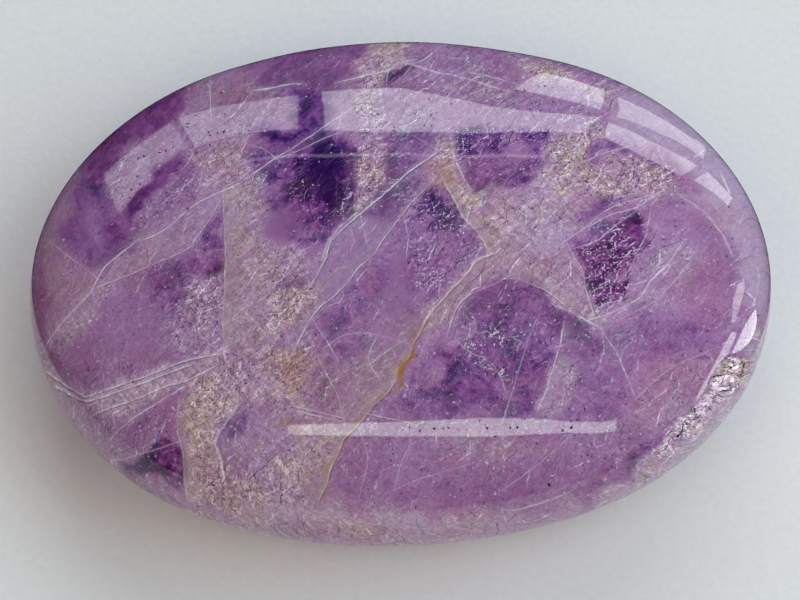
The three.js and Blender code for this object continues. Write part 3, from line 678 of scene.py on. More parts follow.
# cracks and veins: half width in mm, how bright they are, the painted shade beside them, darker on one side
# (on the left going along them where positive), a cloud that fades from them (its strength by the same rule,
# its reach in mm and its warmth), and their line in the picture
veins = {
    "longCrack": {"half": 0.07, "bright": 1, "line": [
        (346, 112), (328, 124), (302, 142), (276, 158), (257, 171), (233, 187), (224, 190), (196, 204),
        (173, 223), (155, 235), (136, 242), (119, 255), (105, 267), (98, 277), (91, 292), (78, 305),
        (63, 322), (49, 341)]},
    "crackShadow": {"half": 0.05, "bright": 0.37, "dark": 0.8, "line": [
        (188, 206), (170, 218), (164, 227), (152, 234), (136, 241), (124, 247)]},
    "crackEcho": {"half": 0.056, "bright": 0.74, "line": [
        (340, 132), (316, 142), (300, 150), (285, 156)]},
    "arcLeft": {"half": 0.05, "bright": 0.53, "line": [(244, 128), (244, 142), (262, 148), (276, 158)]},
    "wedgeLower": {"half": 0.056, "bright": 0.83, "dark": 0.7, "line": [
        (219, 203), (206, 225), (197, 237), (192, 246), (174, 256), (159, 262), (145, 268), (124, 277),
        (101, 286)]},
    "leftHair": {"half": 0.05, "bright": 0.53, "line": [(55, 246), (70, 257), (84, 268), (97, 278)]},
    "bandEdge": {"half": 0.074, "bright": 0.6, "dark": -0.35, "cloud": 0.5, "reach": 2.4, "warm": 0.75,
        "line": [
        (223, 192), (224, 221), (225, 246), (225, 272), (224, 298), (223, 317), (223, 342)]},
    "veinA": {"half": 0.081, "bright": 1, "dark": 0.9, "line": [
        (437, 152), (425, 161), (405, 175), (390, 189), (359, 215), (340, 231), (331, 241), (326, 259),
        (319, 271), (313, 282)]},
    "veinAInner": {"half": 0.15, "bright": 0.74, "line": [
        (352, 217), (338, 228), (328, 243), (325, 252)]},
    "veinB": {"half": 0.056, "bright": 1, "dark": 0.7, "cloud": -0.3, "reach": 1.5, "warm": 0.1, "line": [
        (427, 187), (413, 201), (403, 213), (394, 225), (382, 241), (375, 253), (359, 267), (347, 283),
        (334, 296), (321, 306), (311, 318), (300, 339), (293, 352)]},
    "veinBFork": {"half": 0.056, "bright": 0.74, "dark": -0.6, "line": [
        (312, 319), (318, 329), (325, 338), (334, 354)]},
    "creamBorder": {"half": 0.099, "bright": 0.6, "dark": -0.35, "cloud": 0.4, "reach": 2.2, "warm": 0.7,
        "line": [
        (441, 176), (449, 190), (456, 203), (463, 217), (472, 226), (482, 239), (487, 248), (487, 256)]},
    "tanVein": {"half": 0.1, "bright": 0.96, "dark": 0.7, "warm": 1.0, "cloud": 0.35, "reach": 1.2,
        "line": [
        (487, 256), (477, 260), (468, 271), (459, 283), (451, 289), (442, 300), (434, 308), (427, 317),
        (422, 327)]},
    "orangeVein": {"half": 0.07, "bright": 0.72, "dark": 0.8, "cloud": -0.45, "reach": 2.4, "warm": 1.0,
        "line": [
        (421, 333), (414, 341), (411, 352), (405, 364), (397, 379), (388, 392), (374, 405), (365, 417),
        (353, 430), (343, 440), (339, 452), (331, 468), (327, 483), (321, 496)]},
    "pocketTop": {"half": 0.062, "bright": 0.74, "line": [
        (565, 241), (581, 231), (598, 221), (616, 213), (635, 208), (659, 193)]},
    "pocketInner": {"half": 0.062, "bright": 0.74, "line": [
        (578, 247), (598, 241), (607, 232), (615, 226), (627, 217)]},
    "pocketRight": {"half": 0.05, "bright": 0.55, "line": [
        (650, 213), (646, 236), (637, 252), (631, 267), (623, 278)]},
    "pocketLeft": {"half": 0.074, "bright": 0.53, "dark": 0.4, "line": [
        (566, 241), (575, 258), (583, 271), (585, 286), (592, 308)]},
    "veilLine": {"half": 0.087, "bright": 0.74, "cloud": 0.2, "reach": 1.2, "warm": 0.1, "line": [
        (680, 246), (664, 269), (650, 281), (642, 295), (629, 304), (612, 312), (596, 318)]},
    "veilLineLower": {"half": 0.062, "bright": 0.46, "line": [
        (690, 262), (672, 284), (656, 300), (640, 309), (622, 318)]},
    "wedgeRay": {"half": 0.087, "bright": 0.6, "line": [
        (560, 307), (574, 313), (592, 323), (601, 329), (608, 340), (618, 355), (632, 389)]},
    "curvedRight": {"half": 0.14, "bright": 0.5, "line": [
        (686, 199), (704, 212), (715, 225), (723, 235), (729, 247)]},
    "violetTop": {"half": 0.074, "bright": 0.74, "dark": -0.4, "line": [
        (449, 329), (454, 314), (462, 300), (480, 290), (495, 284), (504, 279)]},
    "violetTopRight": {"half": 0.062, "bright": 0.53, "dark": -0.8, "cloud": 0.3, "reach": 1.5,
        "warm": 0.3, "line": [
        (504, 279), (518, 279), (528, 283), (544, 290), (559, 300), (574, 314)]},
    "planeLine": {"half": 0.05, "bright": 0.53, "line": [
        (535, 323), (527, 344), (523, 357), (513, 389), (505, 415)]},
    "planeEdge": {"half": 0.068, "bright": 0.9, "cloud": 0.3, "reach": 1.6, "warm": 0.1, "line": [
        (563, 328), (558, 353), (552, 370), (545, 393), (540, 405)]},
    "wiggleOne": {"half": 0.099, "bright": 0.45, "line": [
        (460, 343), (467, 350), (474, 354), (484, 358), (492, 364), (497, 371), (502, 378), (504, 386)]},
    "wiggleTwo": {"half": 0.087, "bright": 0.45, "line": [
        (470, 330), (480, 334), (487, 331), (494, 337), (500, 340), (510, 336), (518, 340)]},
    "lowerRay": {"half": 0.056, "bright": 0.53, "line": [(566, 440), (552, 453), (529, 471), (510, 485)]},
    "lowerHair": {"half": 0.05, "bright": 0.5, "line": [(400, 487), (416, 480), (436, 474), (463, 466)]},
    "lowerHairTwo": {"half": 0.056, "bright": 0.53, "line": [(409, 446), (402, 461), (397, 479)]},
    "lowerHairThree": {"half": 0.05, "bright": 0.53, "line": [(362, 437), (368, 459), (362, 486)]},
    "doubleOne": {"half": 0.05, "bright": 0.9, "dark": -0.5, "line": [(301, 408), (338, 417)]},
    "doubleTwo": {"half": 0.05, "bright": 0.9, "line": [(300, 412), (337, 421)]},
    "doubleThree": {"half": 0.05, "bright": 0.9, "dark": -0.5, "line": [(368, 414), (405, 422)]},
    "chevronOne": {"half": 0.07, "bright": 1, "dark": -1.0, "line": [
        (50, 374), (63, 383), (75, 391), (85, 397), (103, 391), (149, 375), (181, 362), (211, 355)]},
    "chevronTwo": {"half": 0.075, "bright": 1, "dark": -0.8, "line": [
        (60, 388), (75, 397), (88, 401), (120, 391), (158, 377), (184, 367)]},
    "chevronThree": {"half": 0.07, "bright": 1, "dark": -0.6, "line": [
        (104, 410), (136, 399), (169, 385), (186, 381), (212, 368)]},
    "chevronFour": {"half": 0.07, "bright": 0.96, "line": [
        (116, 433), (136, 416), (161, 401), (178, 390)]},
    "lowerBandEdge": {"half": 0.074, "bright": 0.53, "cloud": 0.45, "reach": 2.2, "warm": 0.85, "line": [
        (178, 408), (177, 423), (178, 436), (183, 452), (184, 468), (185, 487), (188, 502), (194, 513)]},
    "cornerTop": {"half": 0.05, "bright": 0.6, "line": [(112, 460), (123, 460), (151, 451), (178, 442)]},
    "facetBorder": {"half": 0.14, "bright": 0.74, "dark": 0.7, "line": [
        (233, 412), (226, 423), (217, 434), (215, 445), (221, 460), (224, 477)]},
    "blackCrack": {"half": 0.05, "bright": 0.3, "dark": 1.0, "line": [
        (271, 458), (262, 466), (253, 474)]},
    "blackCrackTop": {"half": 0.05, "bright": 0.3, "dark": -1.0, "line": [
        (403, 130), (413, 136), (425, 143), (437, 151)]},
    "paneCrack": {"half": 0.05, "bright": 0.6, "dark": 0.7, "line": [
        (520, 84), (513, 90), (502, 101), (495, 107), (488, 113), (484, 119), (487, 130)]},
    "creamEdgeTop": {"half": 0.074, "bright": 1, "line": [(455, 160), (462, 174), (468, 186)]},
    "triangleLeft": {"half": 0.062, "bright": 0.9, "line": [
        (386, 88), (387, 78), (389, 71), (397, 63), (407, 61)]},
    "triangleRight": {"half": 0.074, "bright": 0.74, "line": [
        (387, 88), (402, 77), (414, 64), (425, 59), (440, 47)]},
    "topStreak": {"half": 0.081, "bright": 1, "line": [(343, 81), (360, 77), (386, 71)]},
    "topStreakTwo": {"half": 0.062, "bright": 0.9, "line": [(366, 72), (386, 66), (400, 64)]},
    "topStreakLeft": {"half": 0.087, "bright": 1, "line": [(256, 90), (271, 88), (284, 85), (296, 84)]},
    "topArc": {"half": 0.15, "bright": 0.74, "line": [
        (414, 65), (428, 70), (441, 73), (456, 76), (470, 80), (480, 83), (499, 89)]},
    "topParallel": {"half": 0.05, "bright": 0.9, "dark": -0.5, "line": [(472, 73), (492, 77), (510, 82)]},
    "topShort": {"half": 0.05, "bright": 0.6, "line": [(450, 58), (463, 58)]},
    "topLeftHair": {"half": 0.05, "bright": 0.67, "line": [(210, 78), (210, 95), (211, 112)]},
    "leftArc": {"half": 0.062, "bright": 0.6, "line": [(200, 182), (203, 170), (208, 160)]},
    "creamRay": {"half": 0.05, "bright": 0.6, "line": [(311, 246), (300, 252), (289, 258)]},
    "creamRayTwo": {"half": 0.056, "bright": 0.6, "line": [
        (294, 267), (285, 276), (276, 284), (264, 298), (242, 309), (231, 319)]},
    "creamRayThree": {"half": 0.05, "bright": 0.46, "line": [(266, 299), (274, 306), (281, 313)]},
    "innerHair": {"half": 0.05, "bright": 0.46, "line": [(362, 221), (366, 239)]},
    "upHair": {"half": 0.062, "bright": 0.6, "line": [(404, 217), (408, 234), (407, 252)]},
    "netOne": {"half": 0.074, "bright": 0.42, "line": [(330, 344), (342, 336), (368, 333), (402, 342)]},
    "netTwo": {"half": 0.062, "bright": 0.45, "line": [(375, 340), (368, 358), (377, 376)]},
    "netThree": {"half": 0.062, "bright": 0.55, "dark": -0.4, "line": [
        (375, 360), (388, 350), (400, 343)]},
    "netFour": {"half": 0.062, "bright": 0.48, "line": [(321, 364), (331, 382), (339, 399), (343, 416)]},
    "rightArc": {"half": 0.05, "bright": 0.6, "line": [
        (640, 395), (650, 386), (664, 373), (681, 363), (709, 351)]},
    "upperRightLine": {"half": 0.062, "bright": 0.74, "line": [(593, 158), (608, 152), (626, 147)]},
    "cloudEdge": {"half": 0.062, "bright": 0.46, "line": [
        (588, 225), (610, 208), (640, 198), (668, 190)]},
}

# rusty stain along part of the orange vein: points, half width in mm and strength
stains = {
    "orange": ([(412, 348), (405, 362), (399, 374), (391, 387)], 0.24, 1.0),
    "orangeTop": ([(424, 326), (416, 335), (411, 345)], 0.35, 0.5),
    "orangeLower": ([(391, 387), (378, 400), (365, 415), (352, 430), (343, 441), (337, 455)], 0.18, 0.55),
    "tanLower": ([(337, 455), (331, 468), (325, 483), (319, 498)], 0.4, 0.28),
    "tanAbove": ([(459, 283), (448, 292), (436, 305), (427, 318)], 0.3, 0.12),
    "yellowSpeck": ([(288, 428), (294, 430)], 0.4, 0.5),
    "topRust": ([(430, 180), (440, 172), (446, 160)], 0.6, 0.35),
}

# what the stone is made of outside the zones
baseMix = {"depth": 0.45, "milk": 0.25, "warm": 0.25, "magenta": 0.35, "grain": 0.2, "sparkle": 0.15,
           "iron": 0.0, "calm": 0.0, "clear": 0.5}
# small open pits in the polish, where they lie in the picture
pits = [(164.6, 145), (128, 164), (119, 164), (139, 163), (114, 175), (139, 178), (138, 183), (121, 187),
        (130, 195), (189, 118), (214.5, 139.5), (222.6, 119.5), (224, 114), (244, 129), (247, 129.5),
        (513, 76), (519, 73), (524, 78), (518, 87), (540.5, 84.4), (567, 163), (708, 349), (470, 101),
        (434, 122), (420, 425), (440, 428), (491, 426), (506, 427), (523, 426), (561, 427), (573, 422),
        (369, 111), (386, 112), (408, 113), (415, 120), (393, 124), (377, 128), (505, 96), (530, 110)]
wear = {
    "pitReach": 0.9,
    "pitsElsewhere": 0.01,
    "brokenOver": 0.35,  # mm from a hollow's outline to where it looks fully broken
    "facetTilt": 1.6,
    "facetStep": 0.5,
    "meanDepth": 0.8,  # of a hollow's facets, and the least and the most, as shares of its depth
    "depthRange": (0.15, 1.3),
    "tiltPlace": 7.3,  # another value tilts the facets another way
}
# how the markings are drawn, with sizes in mm
markings = {
    "leanBelow": 8.0,  # the height under which the markings lean, as the sheets in the stone do
    "lean": (0.9, 0.55),
    "pathStep": 0.7,
    "roundAbove": 0.3,  # zones with a softer edge than this have rounded corners
    "stainReach": 3.0,  # in half widths
    "lineClear": 0.8,  # room that a line needs to itself in its layer, and more for its cloud's reach
    "cloudClear": 1.6,
    "endFade": 1.2,
    "noVein": 9.0,  # half widths
    # the wander of the zones' edges: its size, its reach and its slice of the noise
    "strays": ((2.2, 0.9, 3.3), (0.7, 0.35, 7.7)),
    "seed": 4,
}


def traced(points):  # where points of the picture lie in the plane of the markings
    return flattened(np.array([seenOnStone(px, py)[1] / mm for px, py in points]))


def flattened(places):  # the plane in which the markings are drawn
    below = np.maximum(markings["leanBelow"] - places[:, 2], 0)
    return places[:, :2] + below[:, None] * np.array(markings["lean"])


def curveThrough(points):  # a smooth line through points, in short steps
    padded = np.vstack([2 * points[0] - points[1], points, 2 * points[-1] - points[-2]])
    made = []
    for a, b, c, d in zip(padded, padded[1:], padded[2:], padded[3:]):
        count = max(1, int(np.linalg.norm(c - b) / markings["pathStep"]))
        for t in np.arange(count) / count:
            made.append(0.5 * (2 * b + (c - a) * t + (2 * a - 5 * b + 4 * c - d) * t ** 2
                               + (3 * b - a - 3 * c + d) * t ** 3))
    return np.array(made + [points[-1]])


def fromPath(spots, path):  # signed distance to a line, positive on its left, and how far past its ends
    nearest = np.full(len(spots), 1e9)
    signed = np.full(len(spots), 1e9)
    past = np.zeros(len(spots))
    last = len(path) - 2
    for i, (a, b) in enumerate(zip(path, path[1:])):
        along = b - a
        length = max(np.linalg.norm(along), 1e-6)
        along = along / length
        away = spots - a
        t = away @ along
        side = away[:, 1] * along[0] - away[:, 0] * along[1]
        over = np.maximum(np.maximum(-t, t - length), 0)
        distance = np.hypot(side, over)
        closer = distance < nearest
        nearest[closer] = distance[closer]
        atEnd = ((t < 0) & (i == 0)) | ((t > length) & (i == last))
        past[closer] = np.where(atEnd, over, 0)[closer]
        signed[closer] = np.where(atEnd, side, np.where(side < 0, -distance, distance))[closer]
    return signed, past


def insideOutline(spots, outline):  # signed distance to a closed outline, positive inside
    inside = np.zeros(len(spots), bool)
    nearest = np.full(len(spots), 1e9)
    for a, b in zip(outline, np.roll(outline, -1, 0)):
        along = b - a
        t = np.clip((spots - a) @ along / max(along @ along, 1e-9), 0, 1)
        nearest = np.minimum(nearest, np.linalg.norm(spots - a - t[:, None] * along, axis=1))
        crosses = (a[1] > spots[:, 1]) != (b[1] > spots[:, 1])
        xAt = a[0] + (spots[:, 1] - a[1]) * along[0] / (along[1] if abs(along[1]) > 1e-9 else 1e-9)
        inside ^= crosses & (spots[:, 0] < xAt)
    return np.where(inside, nearest, -nearest)


def strayed(spots):  # points moved a little, so that edges drawn with them look natural
    moved = np.zeros((len(spots), 2))
    for size, reach, level in markings["strays"]:
        for i, (x, y) in enumerate(spots):
            moved[i] += noise.noise_vector((x / size, y / size, level)).xy * reach
    return spots + moved


def closeTo(spots, shape, reach):  # which points lie in a shape's box, or within its reach
    low, high = shape.min(0) - reach, shape.max(0) + reach
    return np.nonzero(((spots > low) & (spots < high)).all(1))[0]


def paintZones(spots):
    spots = strayed(spots)
    mix = {name: np.full(len(spots), value) for name, value in baseMix.items()}
    for softness, parts, points in zones.values():
        if softness > markings["roundAbove"]:
            outline = curveThrough(traced(points + points[:1]))[:-1]
        else:
            outline = traced(points)
        near = closeTo(spots, outline, softness)
        cover = smoothStep(-softness, softness, insideOutline(spots[near], outline))
        for name, value in parts.items():
            mix[name][near] += (value - mix[name][near]) * cover
    for points, half, strength in stains.values():
        path = curveThrough(traced(points))
        near = closeTo(spots, path, markings["stainReach"] * half)
        signed, past = fromPath(spots[near], path)
        cover = strength * np.exp(-(np.hypot(signed, past) / half) ** 2)
        mix["iron"][near] = np.maximum(mix["iron"][near], cover)
    return mix


def sortVeins():  # the veins in layers, so that no two in a layer come near each other
    paths = {name: curveThrough(traced(vein["line"])) for name, vein in veins.items()}
    clear = {name: markings["lineClear"] + markings["cloudClear"] * vein.get("reach", 0)
             for name, vein in veins.items()}
    layers = []
    for name in sorted(veins, key=lambda n: -clear[n]):
        for layer in layers:
            gaps = [np.linalg.norm(paths[name][:, None] - paths[other][None], axis=2).min()
                    - clear[name] - clear[other] for other in layer]
            if min(gaps) > 0:
                layer.append(name)
                break
        else:
            layers.append([name])
    return layers, paths, clear


def paintVeins(spots):  # for each layer: (distance, bright, dark) and (cloud, reach, warm) at each point
    layers, paths, clear = sortVeins()
    painted = []
    for layer in layers:
        lines = np.zeros((len(spots), 3))
        lines[:, 0] = markings["noVein"]
        clouds = np.zeros((len(spots), 3))
        clouds[:, 1] = 1.0
        nearest = np.full(len(spots), 1e9)
        for name in layer:
            vein = veins[name]
            signed, past = fromPath(spots, paths[name])
            rank = np.hypot(signed, past) / clear[name]
            closer = rank < nearest
            nearest[closer] = rank[closer]
            ends = 1 - smoothStep(0, markings["endFade"], past)
            lines[closer, 0] = signed[closer] / vein["half"]
            lines[closer, 1] = (vein["bright"] * ends)[closer]
            lines[closer, 2] = (vein.get("dark", 0) * ends)[closer]
            clouds[closer, 0] = (vein.get("cloud", 0) * ends)[closer]
            clouds[closer, 1] = vein.get("reach", 1.0) / vein["half"]
            clouds[closer, 2] = vein.get("warm", 0)
        painted.append((lines, clouds))
    return painted


def carveStone(piece):  # the unground hollows, pushed in along the surface's normal, and where the pits lie
    places = placesOf(piece) / mm
    normals = np.array([vertex.normal for vertex in piece.data.vertices])
    spots = flattened(places)
    upper = np.nonzero(places[:, 2] > rimHeight)[0]
    broken, pitted = np.zeros(len(places)), np.full(len(places), wear["pitsElsewhere"])
    outlines = {name: traced(hollow["outline"]) for name, hollow in hollows.items()}
    for name, hollow in hollows.items():
        inside = insideOutline(spots[upper], outlines[name])
        for i, room in zip(upper[inside > 0], inside[inside > 0]):
            at = Vector(places[i]) / hollow["facet"]
            middle = noise.voronoi(at)[1][0]
            tilt = noise.noise_vector(middle * wear["tiltPlace"])
            share = wear["meanDepth"] + wear["facetTilt"] * (at - middle).dot(tilt)
            share = np.clip(share + wear["facetStep"] * tilt.z, *wear["depthRange"])
            wall = smoothStep(0, hollow["wall"], room)
            places[i] -= normals[i] * hollow["depth"] * wall * share
            broken[i] = smoothStep(0, wear["brokenOver"], room)
    for spot in traced(pits):
        away = np.linalg.norm(spots[upper] - spot, axis=1)
        pitted[upper] = np.maximum(pitted[upper], np.exp(-(away / wear["pitReach"]) ** 2))
    movePoints(piece, places * mm)
    storeAttribute(piece, "wear", np.stack([broken, pitted, 0 * broken], 1))


def storeAttribute(piece, name, values):  # three values for each point of the mesh
    attribute = piece.data.attributes.new(name, "FLOAT_VECTOR", "POINT")
    attribute.data.foreach_set("vector", np.asarray(values, np.float32).ravel())


def paintStone(piece):
    spots = flattened(placesOf(piece) / mm)
    mix = paintZones(spots)
    storeAttribute(piece, "body", np.stack([mix["depth"], mix["milk"], mix["warm"]], 1))
    storeAttribute(piece, "tint", np.stack([mix["magenta"], mix["iron"], mix["grain"]], 1))
    storeAttribute(piece, "look", np.stack([mix["sparkle"], mix["calm"], mix["clear"]], 1))
    layers = paintVeins(spots)
    for i, (lines, clouds) in enumerate(layers):
        storeAttribute(piece, f"line{i}", lines)
        storeAttribute(piece, f"cloud{i}", clouds)
    return len(layers)


noise.seed_set(markings["seed"])  # else the wander and the hollows' facets differ from run to run
layerCount = paintStone(stonePiece)
carveStone(stonePiece)
print("markings painted:", len(zones), "zones,", len(veins), "veins in", layerCount, "layers")

# polished amethyst quartz: clear violet that shows depth, cloudy cream bands, bright healed cracks and
# a wet gloss
amethyst = {
    # the violet, and its redder kind, from the palest to the deepest
    "violet": [(0.0, "#cbaed6"), (0.25, "#b886c1"), (0.5, "#a16cb0"), (0.7, "#83479c"), (0.85, "#582484"),
               (1.0, "#28045a")],
    "magenta": [(0.0, "#cdaac8"), (0.25, "#bd84b2"), (0.5, "#a9639f"), (0.7, "#8d418c"), (0.85, "#6c236f"),
                (1.0, "#3f064a")],
    "coolCloud": "#b2a0b8",
    "warmCloud": "#bfad98",
    # filament, deepFilament and fleck: bright hairs and crystals, and also the painted highlight on the
    # facets' edges
    "filament": "#e0cfe6",
    "deepFilament": "#b87cd8",
    "glow": "#d0b9de",
    "fleck": "#f3def8",
    "line": "#f6e8fa",
    "warmLine": "#f2e2d8",
    "rust": "#b07a3c",
    "speckDark": "#3f1c50",
    # shade and cloudShade: the painted shade on the facets' edges
    "shade": "#2b0a55",
    "cloudShade": "#5e4854",
    # painted shade in the pits and along the hollows' broken facet edges
    "recessShade": "#1d0f26",
    "ior": 1.55,
    "roughness": 0.03,
    "pitRoughness": 0.9,
    "brokenRoughness": 0.15,
    "mostThrough": 0.55,  # share of light that goes through where the stone is clearest
    "absorption": "#9a6fc4",
    "absorptionDensity": 230.0,  # per metre
}
# sizes in mm of the patterns in the stone, and the way and the stretch of those that run one way
# the healed cracks run up to the right as the stone is seen, and other breaks cross them
patterns = {
    "clouds": {"size": 5.9, "detail": 2.0},
    "mottle": {"size": 1.65, "detail": 4.0, "rough": 0.65},
    "fine": {"size": 0.42, "detail": 3.0, "rough": 0.8},
    "grit": {"size": 0.2, "detail": 2.0, "rough": 0.9},
    "fibres": {"size": 0.67, "detail": 4.0, "rough": 0.65, "way": 42, "stretch": 7.0},
    "steep": {"size": 0.9, "detail": 3.0, "way": 68, "stretch": 9.0},
    "hatch": {"size": 0.42, "detail": 2.0, "rough": 0.7, "way": -52, "stretch": 8.0},
    "planes": {"size": 3.0, "way": 40, "stretch": 2.6},
    "sheets": {"size": 2.0, "way": -38, "stretch": 2.2},
    "chips": {"size": 0.77, "way": 48, "stretch": 1.9},
    "crumbs": {"size": 0.3, "way": -30, "stretch": 1.5},
}
otherSizes = {
    "crystals": 0.3,
    "pits": 0.67,
    "edgeWidth": 0.09,  # of the facets' painted lit and shaded edges
    "brokenRelief": 0.2,
    "lean": (0.7, 0.5),  # how far the flat patterns lean for each mm up
    "upStretch": 1.6,  # of the patterns that run one way
}
# places moved by a noise, for the patterns to lie on: the noise's size and detail, and how far they move
warps = {
    "swirled": (3.6, 2.0, 3.0),
    "eased": (5.0, 1.0, 1.6),  # cracks run straighter than clouds
    "ragged": (0.62, 3.0, 0.3),
    "speckled": (0.45, 2.0, 0.5),
}
# how much of each pattern shows in what
shares = {
    "depth": {"clouds": 0.11, "mottle": 0.12, "fibres": 0.07, "planes": 0.09, "sheets": 0.09,
              "chips": 0.055, "crumbs": 0.055},
    "milk": {"mottle": 0.3, "fibres": 0.36, "sheets": 0.16, "chips": 0.16},
    "veils": {"planes": 0.14, "sheets": 0.09, "fibres": 0.16},
    "warm": {"clouds": 0.25, "sheets": 0.25},
    "veinWobble": {"mottle": 0.5, "fine": 0.3},
}
# lines where a noise crosses a level: the level, the width as a share of the noise, and how bright
hairLines = {"fibres": (0.53, 0.024, 1.2), "steep": (0.47, 0.018, 1.0)}
# what changes with something else: over which values of it, and from how much to how much
changes = {
    "noiseShown": (0.38, 0.62, -1.0, 1.0),
    "varietyByDepth": (0.45, 0.95, 1.0, 2.0),
    "veilsByDepth": (0.5, 0.9, 1.0, 0.1),
    "warmByMilk": (0.05, 0.4, 0.0, 1.0),
    "partSeen": (-0.5, 0.8, 0.0, 1.0),
    "otherPartSeen": (0.5, -0.8, 0.0, 1.0),
    "crumbsByFacet": (-1.2, 1.2, 0.25, 1.4),
    "shadedByMilk": (0.1, 0.6, 0.25, 1.0),
    "crystalEdge": (0.16, 0.36, 1.0, 0.0),
    "clumps": (-1.6, 1.6, 0.0, 0.8),
    "breaksByFacet": (-1.0, 1.0, 0.5, 1.2),
    "breaksByMottle": (-1.0, 0.6, 0.6, 1.2),
    "cloudSide": (-0.8, 0.8, 0.0, 1.0),
    "darkBeside": (0.2, 1.3, 0.9, 0.0),
    "veinCore": (0.25, 1.15, 1.0, 0.0),
    "paintedFacetLight": (-1.4, 1.4, 0.8, 1.9),
    "pitEdge": (0.09, 0.18, 1.0, 0.0),
}
# how strongly things show: of a pair, the first goes by something else there, and the second is added
strengths = {
    "magentaClouds": 0.25,
    "milk": 0.9,
    "planeEdges": 1.5,
    "sheetEdges": 1.5,
    "chipEdges": (1.4, 0.6),
    "crumbEdges": (2.4, 0.3),
    "edgesByFine": (0.4, 1.15),
    "litBySparkle": 0.3,
    "litByMilk": (0.9, 0.17),
    "shadedEdges": 0.75,
    "shadedAtMost": 0.85,
    "fleckPower": 1.8,
    "grain": (0.12, 0.08),
    "hatch": 0.28,
    "brightCrystals": 0.7,
    "darkCrystals": 0.75,
    "brightCrowd": 0.36,  # of the small crystals, the share that is bright, and the share that is dark
    "darkCrowd": 0.55,
    "hollowEdges": 1.3,
    "pitCrowd": 0.5,
    "throughLostToMilk": 0.85,
}
# in half widths from a vein, where the painted shade beside it runs and how far its glow reaches
besideVeins = {"darkAt": 1.7, "glowReach": 4.0, "glow": 0.26}
fallOff = 0.368  # what is left of a cloud or a glow at its reach
usualRoughness = 0.6  # of a noise


